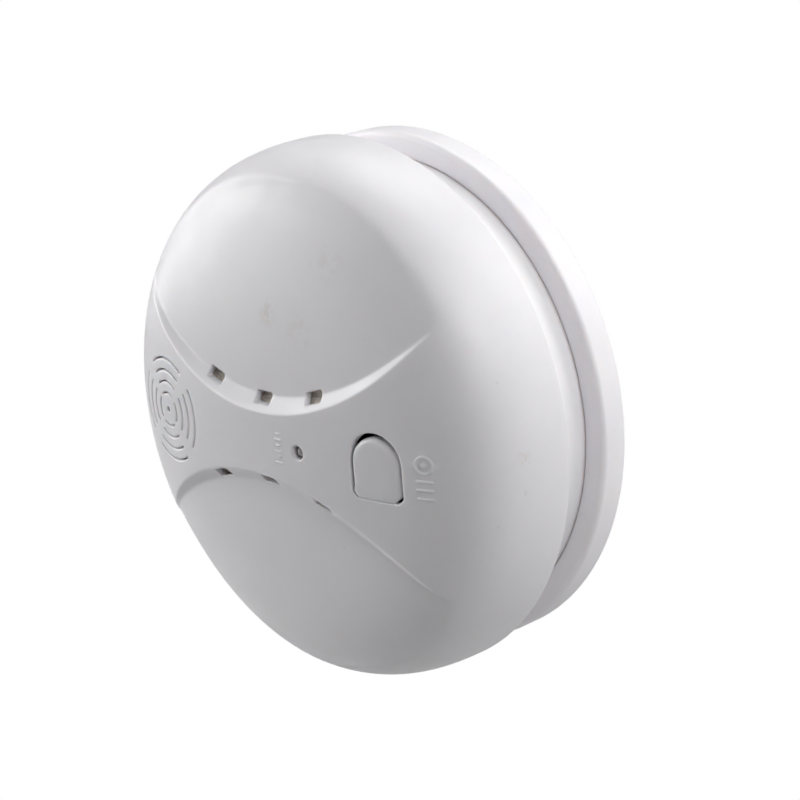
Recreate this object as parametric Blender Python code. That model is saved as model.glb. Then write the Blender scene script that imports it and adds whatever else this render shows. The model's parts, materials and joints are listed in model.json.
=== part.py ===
"""Round battery smoke detector for a wall or ceiling, as separate parts in metres.

The back of the mounting base lies in the plane Y = 0 and the detector faces -Y, with +Z up.
The origin is the centre of the base's back face. "Depth" below means distance from the wall
towards the front, so a point at depth d has Y = -d. The head (cover, rear housing and all the
electronics) turns on the base about the Y axis; the test button swings about its lower edge.
"""

import math

import bmesh
import bpy
from mathutils import Matrix, Vector

MM = 0.001
GAP = 0.3 * MM

# Mounting base
BASE_RADIUS = 53.5 * MM
BASE_DEPTH = 6.1 * MM
BASE_INNER_RADIUS = 49.05 * MM
BASE_EDGE = 0.9 * MM
PLATE_BACK = 1.0 * MM
PLATE_FRONT = 2.0 * MM
CHANNEL_RADII = (50.5 * MM, 52.0 * MM)
CHANNEL_DEPTH = 4.6 * MM
CENTRE_PAD_RADIUS = 9.0 * MM
RIM_PAD_RADIUS = 46.0 * MM
RIB_COUNT = 8
RIB_WIDTH = 1.6 * MM
KEYHOLE_X = 30.0 * MM
KEYHOLE_HEAD_RADIUS = 4.2 * MM
KEYHOLE_SLOT_RADIUS = 2.3 * MM
KEYHOLE_DROP = 4.0 * MM
KEYHOLE_RISE = 5.0 * MM
KEYHOLE_PAD_RADIUS = 8.0 * MM

# Bayonet between base and head
CATCH_COUNT = 3
CATCH_START = math.radians(90.0)
CATCH_HALF_ANGLE = math.radians(4.5)
CATCH_DEPTHS = (4.0 * MM, 5.2 * MM)
CATCH_INNER_RADIUS = 46.9 * MM
TWIST = math.radians(18.0)
SLOT_SLACK = math.radians(1.0)

# Rear housing
NECK_RADIUS = 48.7 * MM
NECK_WALL = 2.3 * MM
NECK_BACK = 2.4 * MM
FLANGE_RADIUS = 52.0 * MM
FLANGE_BACK = 17.1 * MM
FLANGE_FRONT = 18.7 * MM
FLOOR_BACK = 8.0 * MM
FLOOR_FRONT = 9.6 * MM
WELL_HALF_LENGTH = 28.3 * MM
WELL_HALF_HEIGHT = 13.8 * MM
WELL_WALL = 1.6 * MM
WELL_CENTRE_Z = -18.0 * MM
WELL_FRONT = 22.6 * MM
BOSS_CIRCLE = 43.2 * MM
BOSS_RADIUS = 3.8 * MM
BOSS_FRONT = 22.0 * MM
COUNTERBORE_RADIUS = 3.1 * MM
COUNTERBORE_FRONT = 14.0 * MM
SCREW_BORE_RADIUS = 1.6 * MM
SCREW_BORE_FRONT = 32.0 * MM
POST_RADIUS = 2.8 * MM
PILOT_RADIUS = 1.0 * MM
PILOT_LENGTH = 9.0 * MM
LEAD_HOLE_RADIUS = 2.4 * MM
POST_PLACES = ((35.0 * MM, 17.0 * MM), (-35.0 * MM, 17.0 * MM), (0.0, -39.5 * MM))

# Front cover: a dome whose radius r and depth follow a superellipse plus a shallow crown
COVER_RADIUS = 54.6 * MM
COVER_BACK = 16.8 * MM
COVER_FRONT = 46.3 * MM
DOME_SIDE_POWER = 8.07
DOME_FRONT_POWER = 2.8
DOME_CROWN = 8.41 * MM
COVER_WALL = 1.5 * MM
COVER_BOSS_RADIUS = 3.2 * MM
COVER_BOSS_BACK = 22.3 * MM
OUTER_RINGS = {"face_step": 3.1 * MM, "face_count": 15, "shoulder_count": 6}
INNER_RINGS = {"face_step": 4.5 * MM, "face_count": 10, "shoulder_count": 4}
DOME_SECTORS = 64
SHARE_STEP = 0.002

# Two scoops sunk into the dome, above and below a raised band
BROW_RADIUS = 52.7 * MM
BROW_HALF_BAND = 6.35 * MM
FOOT_RADIUS = 56.5 * MM
FOOT_HALF_BAND = 9.14 * MM
SCOOP_DEPTH = 2.18 * MM
SCOOP_SLOPE = SCOOP_DEPTH / (FOOT_HALF_BAND - BROW_HALF_BAND)
SCOOP_TIP_BLEND = 0.6 * MM
SCOOP_FADE = (47.4 * MM, 50.7 * MM)

# Openings in the cover
# Rows of vents: side, places along X, distance of their middle from the brow arc, height
VENT_ROWS = (
    (1.0, (-13.7 * MM, 1.1 * MM, 15.2 * MM), 2.3 * MM, 2.3 * MM),
    (-1.0, (-13.4 * MM, 1.8 * MM, 16.0 * MM), 1.3 * MM, 1.7 * MM),
)
VENT_WIDTH = 4.5 * MM
OPENING_CUT = 12.0 * MM
LED_CUT = 6.0 * MM
GRILLE_CUT = 5.0 * MM
GAUZE_SPAN = (-19.0 * MM, 21.5 * MM)
GAUZE_INNER_Z = 3.6 * MM
GAUZE_HEIGHT = 9.8 * MM
GAUZE_FRONT = 41.0 * MM
GAUZE_THICKNESS = 0.5 * MM
GRILLE_X = -31.5 * MM
GRILLE_RADII = (3.5 * MM, 5.9 * MM, 8.3 * MM, 10.7 * MM)
GRILLE_SLOT = 0.6 * MM
GRILLE_CENTRE_RADIUS = 0.55 * MM
GRILLE_HALF_ANGLE = math.radians(34.0)
GRILLE_ARC_STEPS = 4
LED_X = 11.7 * MM
LED_HOLE_RADIUS = 1.4 * MM
LED_LENS_RADIUS = 1.1 * MM
LED_BODY_RADIUS = 1.5 * MM
LED_FLANGE_RADIUS = 1.9 * MM
LED_FLANGE_THICKNESS = 0.6 * MM
LED_SHOULDER = 41.0 * MM
LED_SUNK = 0.5 * MM
LED_LEG_OFFSET = 0.7 * MM
LED_LEG_HALF = 0.25 * MM
SPACER_RADII = (1.75 * MM, 2.2 * MM)
SPACER_FRONT = 37.4 * MM

# Test button: a tongue with a round end, in an opening of the same shape
BUTTON_HINGE_Z = -6.3 * MM
OPENING_CENTRE = (30.9 * MM, 1.3 * MM)
OPENING_RADIUS = 5.6 * MM
TONGUE_CENTRE = (30.6 * MM, 0.9 * MM)
TONGUE_RADIUS = 4.95 * MM
CORNER_CUT = 1.2 * MM
TONGUE_WALL = 1.8 * MM
TONGUE_SUNK = 0.1 * MM
SWITCH_PLACE = (31.0 * MM, 2.0 * MM)
BUTTON_POST_RADIUS = 1.7 * MM

# Circuit board and what stands on it
BOARD_RADIUS = 43.0 * MM
BOARD_BACK = 24.5 * MM
BOARD_FRONT = 26.1 * MM
BOARD_HOLE_RADIUS = 1.4 * MM
SEAT = BOARD_FRONT + GAP
CHAMBER_PLACE = (0.0, 18.5 * MM)
CHAMBER_RADIUS = 17.0 * MM
CHAMBER_FRONT = 37.0 * MM
CHAMBER_STEPS = 40
SCREEN_WINDOWS = 16
SCREEN_THICKNESS = 0.4 * MM
SCREEN_OPEN_SHARE = 0.64
VANE_COUNT = 18
VANE_LENGTH = 4.6 * MM
VANE_THICKNESS = 0.9 * MM
VANE_LEAN = math.radians(48.0)
VANE_CIRCLE = 14.0 * MM
VANE_CLEARANCE = math.radians(16.0)
EMITTER_ANGLE = math.radians(200.0)
DIODE_ANGLE = math.radians(340.0)
OPTICS_DEPTH = 31.8 * MM
OPTICS_DISTANCE = 8.5 * MM
HORN_RADIUS = 12.5 * MM
HORN_FRONT = 35.6 * MM
HORN_MOUTH_RADIUS = 2.5 * MM
HORN_CAVITY_RADIUS = 9.4 * MM
PIEZO_DEPTH = 28.2 * MM
PIEZO_THICKNESS = 0.3 * MM
CERAMIC_RADIUS = 7.0 * MM
CERAMIC_THICKNESS = 0.25 * MM
SWITCH_HALF = 3.0 * MM
SWITCH_FRONT = 29.6 * MM
SWITCH_FRAME_THICKNESS = 0.4 * MM
SWITCH_BORE_RADIUS = 2.0 * MM
PLUNGER_RADIUS = 1.7 * MM
PLUNGER_DEPTHS = (29.2 * MM, 32.4 * MM)
CHIP_PLACE = (8.0 * MM, -14.0 * MM)
CHIP_SIZE = (19.3 * MM, 6.3 * MM)
PIN_PITCH = 2.54 * MM
CAPACITOR_PLACE = (-6.0 * MM, -27.0 * MM)
INDUCTOR_PLACE = (14.0 * MM, -28.0 * MM)

# Nine-volt battery and its snap connector
BATTERY_LENGTH = 48.5 * MM
BATTERY_HEIGHT = 26.5 * MM
BATTERY_DEPTHS = (3.4 * MM, 20.9 * MM)
BATTERY_LEFT = -28.0 * MM
TERMINAL_HALF_SPACING = 6.35 * MM
TERMINAL_LENGTH = 2.8 * MM
CONNECTOR_THICKNESS = 1.8 * MM
LEAD_RADIUS = 0.6 * MM
LEAD_X = 27.4 * MM

# Screws: length, shank radius and head radius; the board's screws point to the back
HOUSING_SCREW = (16.0 * MM, 1.3 * MM, 2.7 * MM)
BOARD_SCREW = (-8.0 * MM, 0.7 * MM, 2.1 * MM)
SCREW_HEAD_THICKNESS = 1.6 * MM
SCREW_STEPS = 10

SMALL_STEPS = 16
MEDIUM_STEPS = 32
LARGE_STEPS = 64
SHARP_ANGLE = math.radians(32.0)


# ---------------------------------------------------------------- scene and materials

def clear_scene():
    """Remove everything that the starting scene holds."""
    for thing in list(bpy.data.objects):
        bpy.data.objects.remove(thing, do_unlink=True)


def make_material(name, colour, roughness, metallic=0.0):
    """A Principled material with one colour, roughness and metallic value."""
    material = bpy.data.materials.new(name)
    material.use_nodes = True
    shader = material.node_tree.nodes["Principled BSDF"]
    shader.inputs["Base Color"].default_value = (*colour, 1.0)
    shader.inputs["Roughness"].default_value = roughness
    shader.inputs["Metallic"].default_value = metallic
    material.diffuse_color = (*colour, 1.0)
    return material


# ---------------------------------------------------------------- mesh helpers

def point(x, depth, z):
    """A point from its place across the face and its depth from the wall."""
    return Vector((x, -depth, z))


def turned(profile, steps, centre=(0.0, 0.0)):
    """Turn (radius, depth) points about an axis along Y through centre. A profile that
    touches the axis closes there; one that doesn't is a ring and closes on itself."""
    mesh = bmesh.new()
    rings = []
    for radius, depth in profile:
        if radius < 1e-7:
            rings.append([mesh.verts.new(point(centre[0], depth, centre[1]))])
            continue
        ring = []
        for step in range(steps):
            angle = 2.0 * math.pi * step / steps
            x = centre[0] + radius * math.cos(angle)
            z = centre[1] + radius * math.sin(angle)
            ring.append(mesh.verts.new(point(x, depth, z)))
        rings.append(ring)
    pairs = list(zip(rings, rings[1:]))
    if len(rings[0]) > 1:
        pairs.append((rings[-1], rings[0]))
    for lower, upper in pairs:
        bridge(mesh, lower, upper, steps)
    bmesh.ops.recalc_face_normals(mesh, faces=mesh.faces)
    return mesh


def bridge(mesh, lower, upper, steps):
    """Faces between two rings, either of which may be a single point."""
    for step in range(steps):
        after = (step + 1) % steps
        if len(lower) == 1:
            mesh.faces.new((lower[0], upper[after], upper[step]))
        elif len(upper) == 1:
            mesh.faces.new((lower[step], lower[after], upper[0]))
        else:
            mesh.faces.new((lower[step], lower[after], upper[after], upper[step]))


def prism(outline, back, front):
    """A block with the (x, z) outline between two depths. Either depth may be a function
    of x and z, so that an end can follow the dome."""
    mesh = bmesh.new()
    ends = []
    for depth in (back, front):
        ring = []
        for x, z in outline:
            value = depth(x, z) if callable(depth) else depth
            ring.append(mesh.verts.new(point(x, value, z)))
        ends.append(ring)
    count = len(outline)
    mesh.faces.new(ends[0])
    mesh.faces.new(ends[1])
    bridge(mesh, ends[0], ends[1], count)
    bmesh.ops.recalc_face_normals(mesh, faces=mesh.faces)
    return mesh


def circle(centre, radius, steps):
    """Points round a circle, as an outline."""
    angles = [2.0 * math.pi * step / steps for step in range(steps)]
    return [(centre[0] + radius * math.cos(a), centre[1] + radius * math.sin(a)) for a in angles]


def arc(centre, radius, start, end, steps):
    """Points along an arc, both ends included."""
    angles = [start + (end - start) * step / steps for step in range(steps + 1)]
    return [(centre[0] + radius * math.cos(a), centre[1] + radius * math.sin(a)) for a in angles]


def rectangle(low_x, high_x, low_z, high_z):
    """A rectangle as an outline."""
    return [(low_x, low_z), (high_x, low_z), (high_x, high_z), (low_x, high_z)]


def rounded_rectangle(low_x, high_x, low_z, high_z, radius, steps=3):
    """A rectangle with round corners, as an outline."""
    corners = (
        (high_x - radius, high_z - radius, 0.0),
        (low_x + radius, high_z - radius, 0.5 * math.pi),
        (low_x + radius, low_z + radius, math.pi),
        (high_x - radius, low_z + radius, 1.5 * math.pi),
    )
    outline = []
    for x, z, start in corners:
        outline += arc((x, z), radius, start, start + 0.5 * math.pi, steps)
    return outline


def ring_sector(inner, outer, start, end, steps, centre=(0.0, 0.0)):
    """The outline of part of a ring between two angles."""
    outside = arc(centre, outer, start, end, steps)
    inside = arc(centre, inner, end, start, steps)
    return outside + inside


def cylinder(centre, radius, back, front, steps=SMALL_STEPS):
    """A cylinder along Y."""
    return prism(circle(centre, radius, steps), back, front)


def moved(mesh, matrix):
    """The same mesh after a transform."""
    bmesh.ops.transform(mesh, matrix=matrix, verts=mesh.verts)
    return mesh


def object_from(name, meshes):
    """One hidden helper or future part, holding one or more closed meshes."""
    data = bpy.data.meshes.new(name)
    whole = bmesh.new()
    for mesh in meshes:
        mesh.to_mesh(data)
        whole.from_mesh(data)
        mesh.free()
    whole.to_mesh(data)
    whole.free()
    made = bpy.data.objects.new(name, data)
    bpy.context.scene.collection.objects.link(made)
    return made


def combine(target, meshes, operation):
    """Add to, or cut from, a part with closed meshes that don't touch one another."""
    tool = object_from(target.name + "_tool", meshes)
    tool.display_type = "WIRE"
    tool.hide_render = True
    modifier = target.modifiers.new("combine", "BOOLEAN")
    modifier.operation = operation
    modifier.solver = "EXACT"
    modifier.object = tool
    bpy.context.view_layer.update()
    graph = bpy.context.evaluated_depsgraph_get()
    result = bpy.data.meshes.new_from_object(target.evaluated_get(graph))
    target.modifiers.clear()
    before = target.data
    target.data = result
    bpy.data.meshes.remove(before)
    bpy.data.objects.remove(tool, do_unlink=True)


def finish(part, material, parent=None, pivot=(0.0, 0.0, 0.0)):
    """Give a part its material, shading, parent and origin."""
    part.data.transform(Matrix.Translation(-Vector(pivot)))
    part.location = pivot
    part.data.materials.clear()
    part.data.materials.append(material)
    part.data.shade_smooth()
    part.data.set_sharp_from_angle(angle=SHARP_ANGLE)
    part.parent = parent
    return part


# ---------------------------------------------------------------- shape of the cover

def dome_point(share):
    """(radius, depth) on the outer dome; share runs from 0 at the rim to 1 at the centre."""
    angle = 0.5 * math.pi * share
    side = max(math.cos(angle), 0.0) ** (2.0 / DOME_SIDE_POWER)
    rise = math.sin(angle) ** (2.0 / DOME_FRONT_POWER)
    height = (COVER_FRONT - DOME_CROWN - COVER_BACK) * rise
    return COVER_RADIUS * side, COVER_BACK + height + DOME_CROWN * (1.0 - side * side)


def dome_depth(radius):
    """Depth of the outer dome at a distance from the axis, before the scoops are sunk."""
    side = min(radius / COVER_RADIUS, 1.0)
    cosine = side ** (DOME_SIDE_POWER / 2.0)
    rise = math.sqrt(max(1.0 - cosine * cosine, 0.0)) ** (2.0 / DOME_FRONT_POWER)
    height = (COVER_FRONT - DOME_CROWN - COVER_BACK) * rise
    return COVER_BACK + height + DOME_CROWN * (1.0 - side * side)


def scoop_wall_run(x):
    """Distance from the brow arc to the foot arc, square to the brow; it dies out at the tips."""
    brow_height = math.sqrt(max(BROW_RADIUS**2 - x**2, 0.0))
    foot_height = math.sqrt(max(FOOT_RADIUS**2 - x**2, 0.0))
    brow = BROW_HALF_BAND + BROW_RADIUS - brow_height
    foot = FOOT_HALF_BAND + FOOT_RADIUS - foot_height
    run = (foot - brow) * brow_height / BROW_RADIUS
    blend = max(SCOOP_TIP_BLEND - abs(run), 0.0)
    return max(run, 0.0) + 0.25 * blend * blend / SCOOP_TIP_BLEND


def scoop_sink(x, z, depth):
    """How far the scoops lower the dome at a place whose plain depth is given."""
    inset = BROW_RADIUS - math.hypot(x, abs(z) - BROW_HALF_BAND - BROW_RADIUS)
    sink = SCOOP_SLOPE * min(max(inset, 0.0), scoop_wall_run(x))
    fade = (math.hypot(x, z) - SCOOP_FADE[0]) / (SCOOP_FADE[1] - SCOOP_FADE[0])
    fade = min(max(fade, 0.0), 1.0)
    sink *= 1.0 - fade * fade * (3.0 - 2.0 * fade)
    return sink * max(depth - COVER_BACK, 0.0) / (COVER_FRONT - COVER_BACK)


def face_depth(x, z):
    """Depth of the finished outer surface."""
    depth = dome_depth(math.hypot(x, z))
    return depth - scoop_sink(x, z, depth)


def dome_sheet(mesh, rings):
    """Rings of points from the rim inwards, for rings of (radius, depth); the last is the centre."""
    made = []
    for radius, depth in rings:
        if radius < 1e-7:
            made.append([mesh.verts.new(point(0.0, depth - scoop_sink(0.0, 0.0, depth), 0.0))])
            continue
        ring = []
        for step in range(DOME_SECTORS):
            angle = 2.0 * math.pi * step / DOME_SECTORS
            x = radius * math.cos(angle)
            z = radius * math.sin(angle)
            ring.append(mesh.verts.new(point(x, depth - scoop_sink(x, z, depth), z)))
        made.append(ring)
    for lower, upper in zip(made, made[1:]):
        bridge(mesh, lower, upper, DOME_SECTORS)
    return made[0]


def inner_dome_point(share):
    """The outer dome moved inwards by the wall, square to its surface."""
    radius_a, depth_a = dome_point(max(share - SHARE_STEP, 0.0))
    radius_b, depth_b = dome_point(min(share + SHARE_STEP, 1.0))
    run = Vector((radius_b - radius_a, depth_b - depth_a)).normalized()
    radius, depth = dome_point(share)
    return max(radius - run.y * COVER_WALL, 0.0), depth + run.x * COVER_WALL


def dome_share(radius):
    """The share at which the outer dome has a radius."""
    return math.acos((radius / COVER_RADIUS) ** (DOME_SIDE_POWER / 2.0)) / (0.5 * math.pi)


def dome_shares(face_step, face_count, shoulder_count):
    """Even steps round the shoulder, then even steps of radius across the face."""
    shoulder_end = dome_share(face_step * face_count)
    shares = [shoulder_end * step / shoulder_count for step in range(shoulder_count)]
    shares += [dome_share(face_step * step) for step in range(face_count, 0, -1)]
    return shares + [1.0]


def cover_shell():
    """The dome as a closed shell that is open at the back."""
    mesh = bmesh.new()
    outer_rings = [dome_point(share) for share in dome_shares(**OUTER_RINGS)]
    inner_rings = [inner_dome_point(share) for share in dome_shares(**INNER_RINGS)]
    outer_rings[-1] = (0.0, COVER_FRONT)
    inner_rings[0] = (COVER_RADIUS - COVER_WALL, COVER_BACK)
    inner_rings[-1] = (0.0, COVER_FRONT - COVER_WALL)
    outer_rim = dome_sheet(mesh, outer_rings)
    inner_rim = dome_sheet(mesh, inner_rings)
    bridge(mesh, outer_rim, inner_rim, DOME_SECTORS)
    bmesh.ops.recalc_face_normals(mesh, faces=mesh.faces)
    return mesh


def button_outline(centre, radius, bottom, steps=14):
    """Round at the top, straight sides, cut corners and a straight lower edge."""
    left = centre[0] - radius
    right = centre[0] + radius
    round_end = arc(centre, radius, 0.0, math.pi, steps)
    foot = [(left, bottom + CORNER_CUT), (left + CORNER_CUT, bottom)]
    foot += [(right - CORNER_CUT, bottom), (right, bottom + CORNER_CUT)]
    return round_end + foot


def vent_cutters():
    """Six windows in the scoop walls, square to the brow arcs."""
    made = []
    for side, places, inset, height in VENT_ROWS:
        reach = BROW_RADIUS - inset
        window = rectangle(-VENT_WIDTH / 2, VENT_WIDTH / 2, -height / 2, height / 2)
        for x in places:
            turn = math.asin(x / reach)
            z = BROW_HALF_BAND + BROW_RADIUS - reach * math.cos(turn)
            block = prism(window, COVER_FRONT - OPENING_CUT, COVER_FRONT + MM)
            lean = Matrix.Rotation(-side * turn, 4, "Y")
            moved(block, Matrix.Translation((x, 0.0, side * z)) @ lean)
            made.append(block)
    return made


def grille_cutters():
    """A small centre hole and four arcs to each side of it, at four radii."""
    centre = (GRILLE_X, 0.0)
    back = dome_depth(GRILLE_RADII[-1] - GRILLE_X) - GRILLE_CUT
    made = [cylinder(centre, GRILLE_CENTRE_RADIUS, back, COVER_FRONT, 10)]
    for radius in GRILLE_RADII:
        for quarter in range(4):
            middle = quarter * 0.5 * math.pi
            start = middle - GRILLE_HALF_ANGLE
            end = middle + GRILLE_HALF_ANGLE
            inner = radius - GRILLE_SLOT / 2
            outer = radius + GRILLE_SLOT / 2
            outline = ring_sector(inner, outer, start, end, GRILLE_ARC_STEPS, centre)
            made.append(prism(outline, back, COVER_FRONT))
    return made


def boss_places():
    """Where the three long screws join the two halves of the head."""
    made = []
    for number in range(CATCH_COUNT):
        angle = CATCH_START + 2.0 * math.pi * number / CATCH_COUNT
        made.append((BOSS_CIRCLE * math.cos(angle), BOSS_CIRCLE * math.sin(angle)))
    return made


# ---------------------------------------------------------------- outer parts

def build_mounting_base(material):
    plate = [
        (0.0, PLATE_BACK),
        (RIM_PAD_RADIUS, PLATE_BACK),
        (RIM_PAD_RADIUS + MM, 0.0),
        (CHANNEL_RADII[0], 0.0),
        (CHANNEL_RADII[0], CHANNEL_DEPTH),
        (CHANNEL_RADII[1], CHANNEL_DEPTH),
        (CHANNEL_RADII[1], 0.0),
        (BASE_RADIUS - 0.5 * MM, 0.0),
        (BASE_RADIUS, 0.5 * MM),
        (BASE_RADIUS, BASE_DEPTH - BASE_EDGE),
        (BASE_RADIUS - 0.3 * BASE_EDGE, BASE_DEPTH - 0.3 * BASE_EDGE),
        (BASE_RADIUS - BASE_EDGE, BASE_DEPTH),
        (BASE_INNER_RADIUS, BASE_DEPTH),
        (BASE_INNER_RADIUS, PLATE_FRONT),
        (0.0, PLATE_FRONT),
    ]
    base = object_from("mounting_base", [turned(plate, LARGE_STEPS)])
    inside = 0.5 * (PLATE_BACK + PLATE_FRONT)
    pads = [cylinder((0.0, 0.0), CENTRE_PAD_RADIUS, 0.0, inside, MEDIUM_STEPS)]
    for side in (-1.0, 1.0):
        pads.append(cylinder((side * KEYHOLE_X, 0.0), KEYHOLE_PAD_RADIUS, 0.0, inside, 24))
    combine(base, pads, "UNION")
    ribs = []
    for number in range(RIB_COUNT):
        angle = 2.0 * math.pi * (number + 0.5) / RIB_COUNT
        low = CENTRE_PAD_RADIUS - MM
        high = RIM_PAD_RADIUS + 0.8 * MM
        rib = prism(rectangle(low, high, -RIB_WIDTH / 2, RIB_WIDTH / 2), 0.0, inside)
        ribs.append(moved(rib, Matrix.Rotation(angle, 4, "Y")))
    combine(base, ribs, "UNION")
    catches = []
    for number in range(CATCH_COUNT):
        middle = CATCH_START + 2.0 * math.pi * number / CATCH_COUNT
        start = middle - CATCH_HALF_ANGLE
        end = middle + CATCH_HALF_ANGLE
        outline = ring_sector(CATCH_INNER_RADIUS, BASE_INNER_RADIUS + 0.5 * MM, start, end, 4)
        catches.append(prism(outline, *CATCH_DEPTHS))
    combine(base, catches, "UNION")
    keyholes = []
    slots = []
    for side in (-1.0, 1.0):
        x = side * KEYHOLE_X
        low = -MM
        high = PLATE_FRONT + MM
        keyholes.append(cylinder((x, -KEYHOLE_DROP), KEYHOLE_HEAD_RADIUS, low, high, 20))
        top = arc((x, KEYHOLE_RISE), KEYHOLE_SLOT_RADIUS, 0.0, math.pi, 8)
        foot = [(x - KEYHOLE_SLOT_RADIUS, -KEYHOLE_DROP), (x + KEYHOLE_SLOT_RADIUS, -KEYHOLE_DROP)]
        slots.append(prism(top + foot, low, high))
    combine(base, keyholes, "DIFFERENCE")
    combine(base, slots, "DIFFERENCE")
    return finish(base, material)


def bayonet_cutters():
    """L-shaped slots in the neck: along the turn, then out at the back."""
    runs = []
    entries = []
    reach = CATCH_HALF_ANGLE + SLOT_SLACK
    inner = NECK_RADIUS - NECK_WALL - MM
    outer = NECK_RADIUS + MM
    for number in range(CATCH_COUNT):
        middle = CATCH_START + 2.0 * math.pi * number / CATCH_COUNT
        run = ring_sector(inner, outer, middle - TWIST - reach, middle + reach, 8)
        runs.append(prism(run, CATCH_DEPTHS[0] - GAP, CATCH_DEPTHS[1] + GAP))
        entry = ring_sector(inner, outer, middle - TWIST - reach, middle - TWIST + reach, 3)
        entries.append(prism(entry, NECK_BACK - MM, CATCH_DEPTHS[1] + GAP))
    return runs, entries


def build_rear_housing(material, parent):
    inner = NECK_RADIUS - NECK_WALL
    tray = [
        (0.0, FLOOR_BACK),
        (inner, FLOOR_BACK),
        (inner, NECK_BACK),
        (NECK_RADIUS, NECK_BACK),
        (NECK_RADIUS, FLANGE_BACK),
        (FLANGE_RADIUS, FLANGE_BACK),
        (FLANGE_RADIUS, FLANGE_FRONT),
        (inner, FLANGE_FRONT),
        (inner, FLOOR_FRONT),
        (0.0, FLOOR_FRONT),
    ]
    housing = object_from("rear_housing", [turned(tray, LARGE_STEPS)])
    middle = 0.5 * (FLOOR_BACK + FLOOR_FRONT)
    long_side = WELL_HALF_LENGTH + WELL_WALL
    low = WELL_CENTRE_Z - WELL_HALF_HEIGHT
    high = WELL_CENTRE_Z + WELL_HALF_HEIGHT
    outside = rounded_rectangle(-long_side, long_side, low - WELL_WALL, high + WELL_WALL, 2.0 * MM)
    combine(housing, [prism(outside, middle, WELL_FRONT)], "UNION")
    columns = [cylinder(place, BOSS_RADIUS, middle, BOSS_FRONT) for place in boss_places()]
    columns += [cylinder(place, POST_RADIUS, middle, BOARD_BACK - GAP) for place in POST_PLACES]
    combine(housing, columns, "UNION")
    cavity = rounded_rectangle(-WELL_HALF_LENGTH, WELL_HALF_LENGTH, low, high, MM)
    cuts = [prism(cavity, FLOOR_BACK - MM, WELL_FRONT - WELL_WALL)]
    pilot_back = BOARD_BACK - PILOT_LENGTH
    cuts += [cylinder(place, PILOT_RADIUS, pilot_back, BOARD_BACK) for place in POST_PLACES]
    for place in boss_places():
        stepped = [
            (0.0, FLOOR_BACK - MM),
            (COUNTERBORE_RADIUS, FLOOR_BACK - MM),
            (COUNTERBORE_RADIUS, COUNTERBORE_FRONT),
            (SCREW_BORE_RADIUS, COUNTERBORE_FRONT),
            (SCREW_BORE_RADIUS, BOSS_FRONT + MM),
            (0.0, BOSS_FRONT + MM),
        ]
        cuts.append(turned(stepped, SMALL_STEPS, place))
    combine(housing, cuts, "DIFFERENCE")
    hole_place = (LEAD_X - LEAD_RADIUS, WELL_CENTRE_Z)
    hole_back = WELL_FRONT - 1.25 * WELL_WALL
    lead_hole = cylinder(hole_place, LEAD_HOLE_RADIUS, hole_back, WELL_FRONT + MM)
    combine(housing, [lead_hole], "DIFFERENCE")
    runs, entries = bayonet_cutters()
    combine(housing, runs, "DIFFERENCE")
    combine(housing, entries, "DIFFERENCE")
    return finish(housing, material, parent)


def build_front_cover(material, parent):
    cover = object_from("front_cover", [cover_shell()])
    columns = []
    for place in boss_places():
        ring = circle(place, COVER_BOSS_RADIUS, SMALL_STEPS)
        columns.append(prism(ring, COVER_BOSS_BACK, lambda x, z: face_depth(x, z) - MM))
    combine(cover, columns, "UNION")
    bore = (SCREW_BORE_RADIUS, COVER_BOSS_BACK - MM, SCREW_BORE_FRONT)
    holes = [cylinder(place, *bore) for place in boss_places()]
    opening = button_outline(OPENING_CENTRE, OPENING_RADIUS, BUTTON_HINGE_Z)
    holes.append(prism(opening, COVER_FRONT - OPENING_CUT, COVER_FRONT))
    led_hole = cylinder((LED_X, 0.0), LED_HOLE_RADIUS, COVER_FRONT - LED_CUT, COVER_FRONT + MM)
    holes.append(led_hole)
    holes += vent_cutters()
    holes += grille_cutters()
    combine(cover, holes, "DIFFERENCE")
    return finish(cover, material, parent)


def build_vent_gauzes(material, parent):
    """Two strips of insect gauze behind the vents."""
    lower_z = -GAUZE_INNER_Z - GAUZE_HEIGHT
    for name, low_z in (("vent_gauze_upper", GAUZE_INNER_Z), ("vent_gauze_lower", lower_z)):
        outline = rounded_rectangle(*GAUZE_SPAN, low_z, low_z + GAUZE_HEIGHT, MM)
        strip = prism(outline, GAUZE_FRONT - GAUZE_THICKNESS, GAUZE_FRONT)
        finish(object_from(name, [strip]), material, parent)


def button_pivot():
    """The middle of the button's lower edge, half way through its wall."""
    x = TONGUE_CENTRE[0]
    depth = face_depth(x, BUTTON_HINGE_Z) - TONGUE_SUNK - 0.5 * TONGUE_WALL
    return point(x, depth, BUTTON_HINGE_Z)


def build_test_button(material, parent):
    bottom = BUTTON_HINGE_Z + GAP
    outline = button_outline(TONGUE_CENTRE, TONGUE_RADIUS, bottom)

    def front(x, z):
        return face_depth(x, z) - TONGUE_SUNK

    def back(x, z):
        return face_depth(x, z) - TONGUE_SUNK - TONGUE_WALL

    button = object_from("test_button", [prism(outline, back, front)])
    ring = circle(SWITCH_PLACE, BUTTON_POST_RADIUS, SMALL_STEPS)
    tip = PLUNGER_DEPTHS[1] + GAP
    post = prism(ring, tip, lambda x, z: face_depth(x, z) - TONGUE_SUNK - 0.5 * TONGUE_WALL)
    combine(button, [post], "UNION")
    return finish(button, material, parent, button_pivot())


# ---------------------------------------------------------------- electronics

def build_circuit_board(material, parent):
    disc = cylinder((0.0, 0.0), BOARD_RADIUS, BOARD_BACK, BOARD_FRONT, LARGE_STEPS)
    board = object_from("circuit_board", [disc])
    low = BOARD_BACK - MM
    high = BOARD_FRONT + MM
    clearance = BOSS_RADIUS + 2.0 * GAP
    cuts = [cylinder(place, clearance, low, high, 20) for place in boss_places()]
    cuts += [cylinder(place, BOARD_HOLE_RADIUS, low, high, 12) for place in POST_PLACES]
    combine(board, cuts, "DIFFERENCE")
    return finish(board, material, parent)


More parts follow.
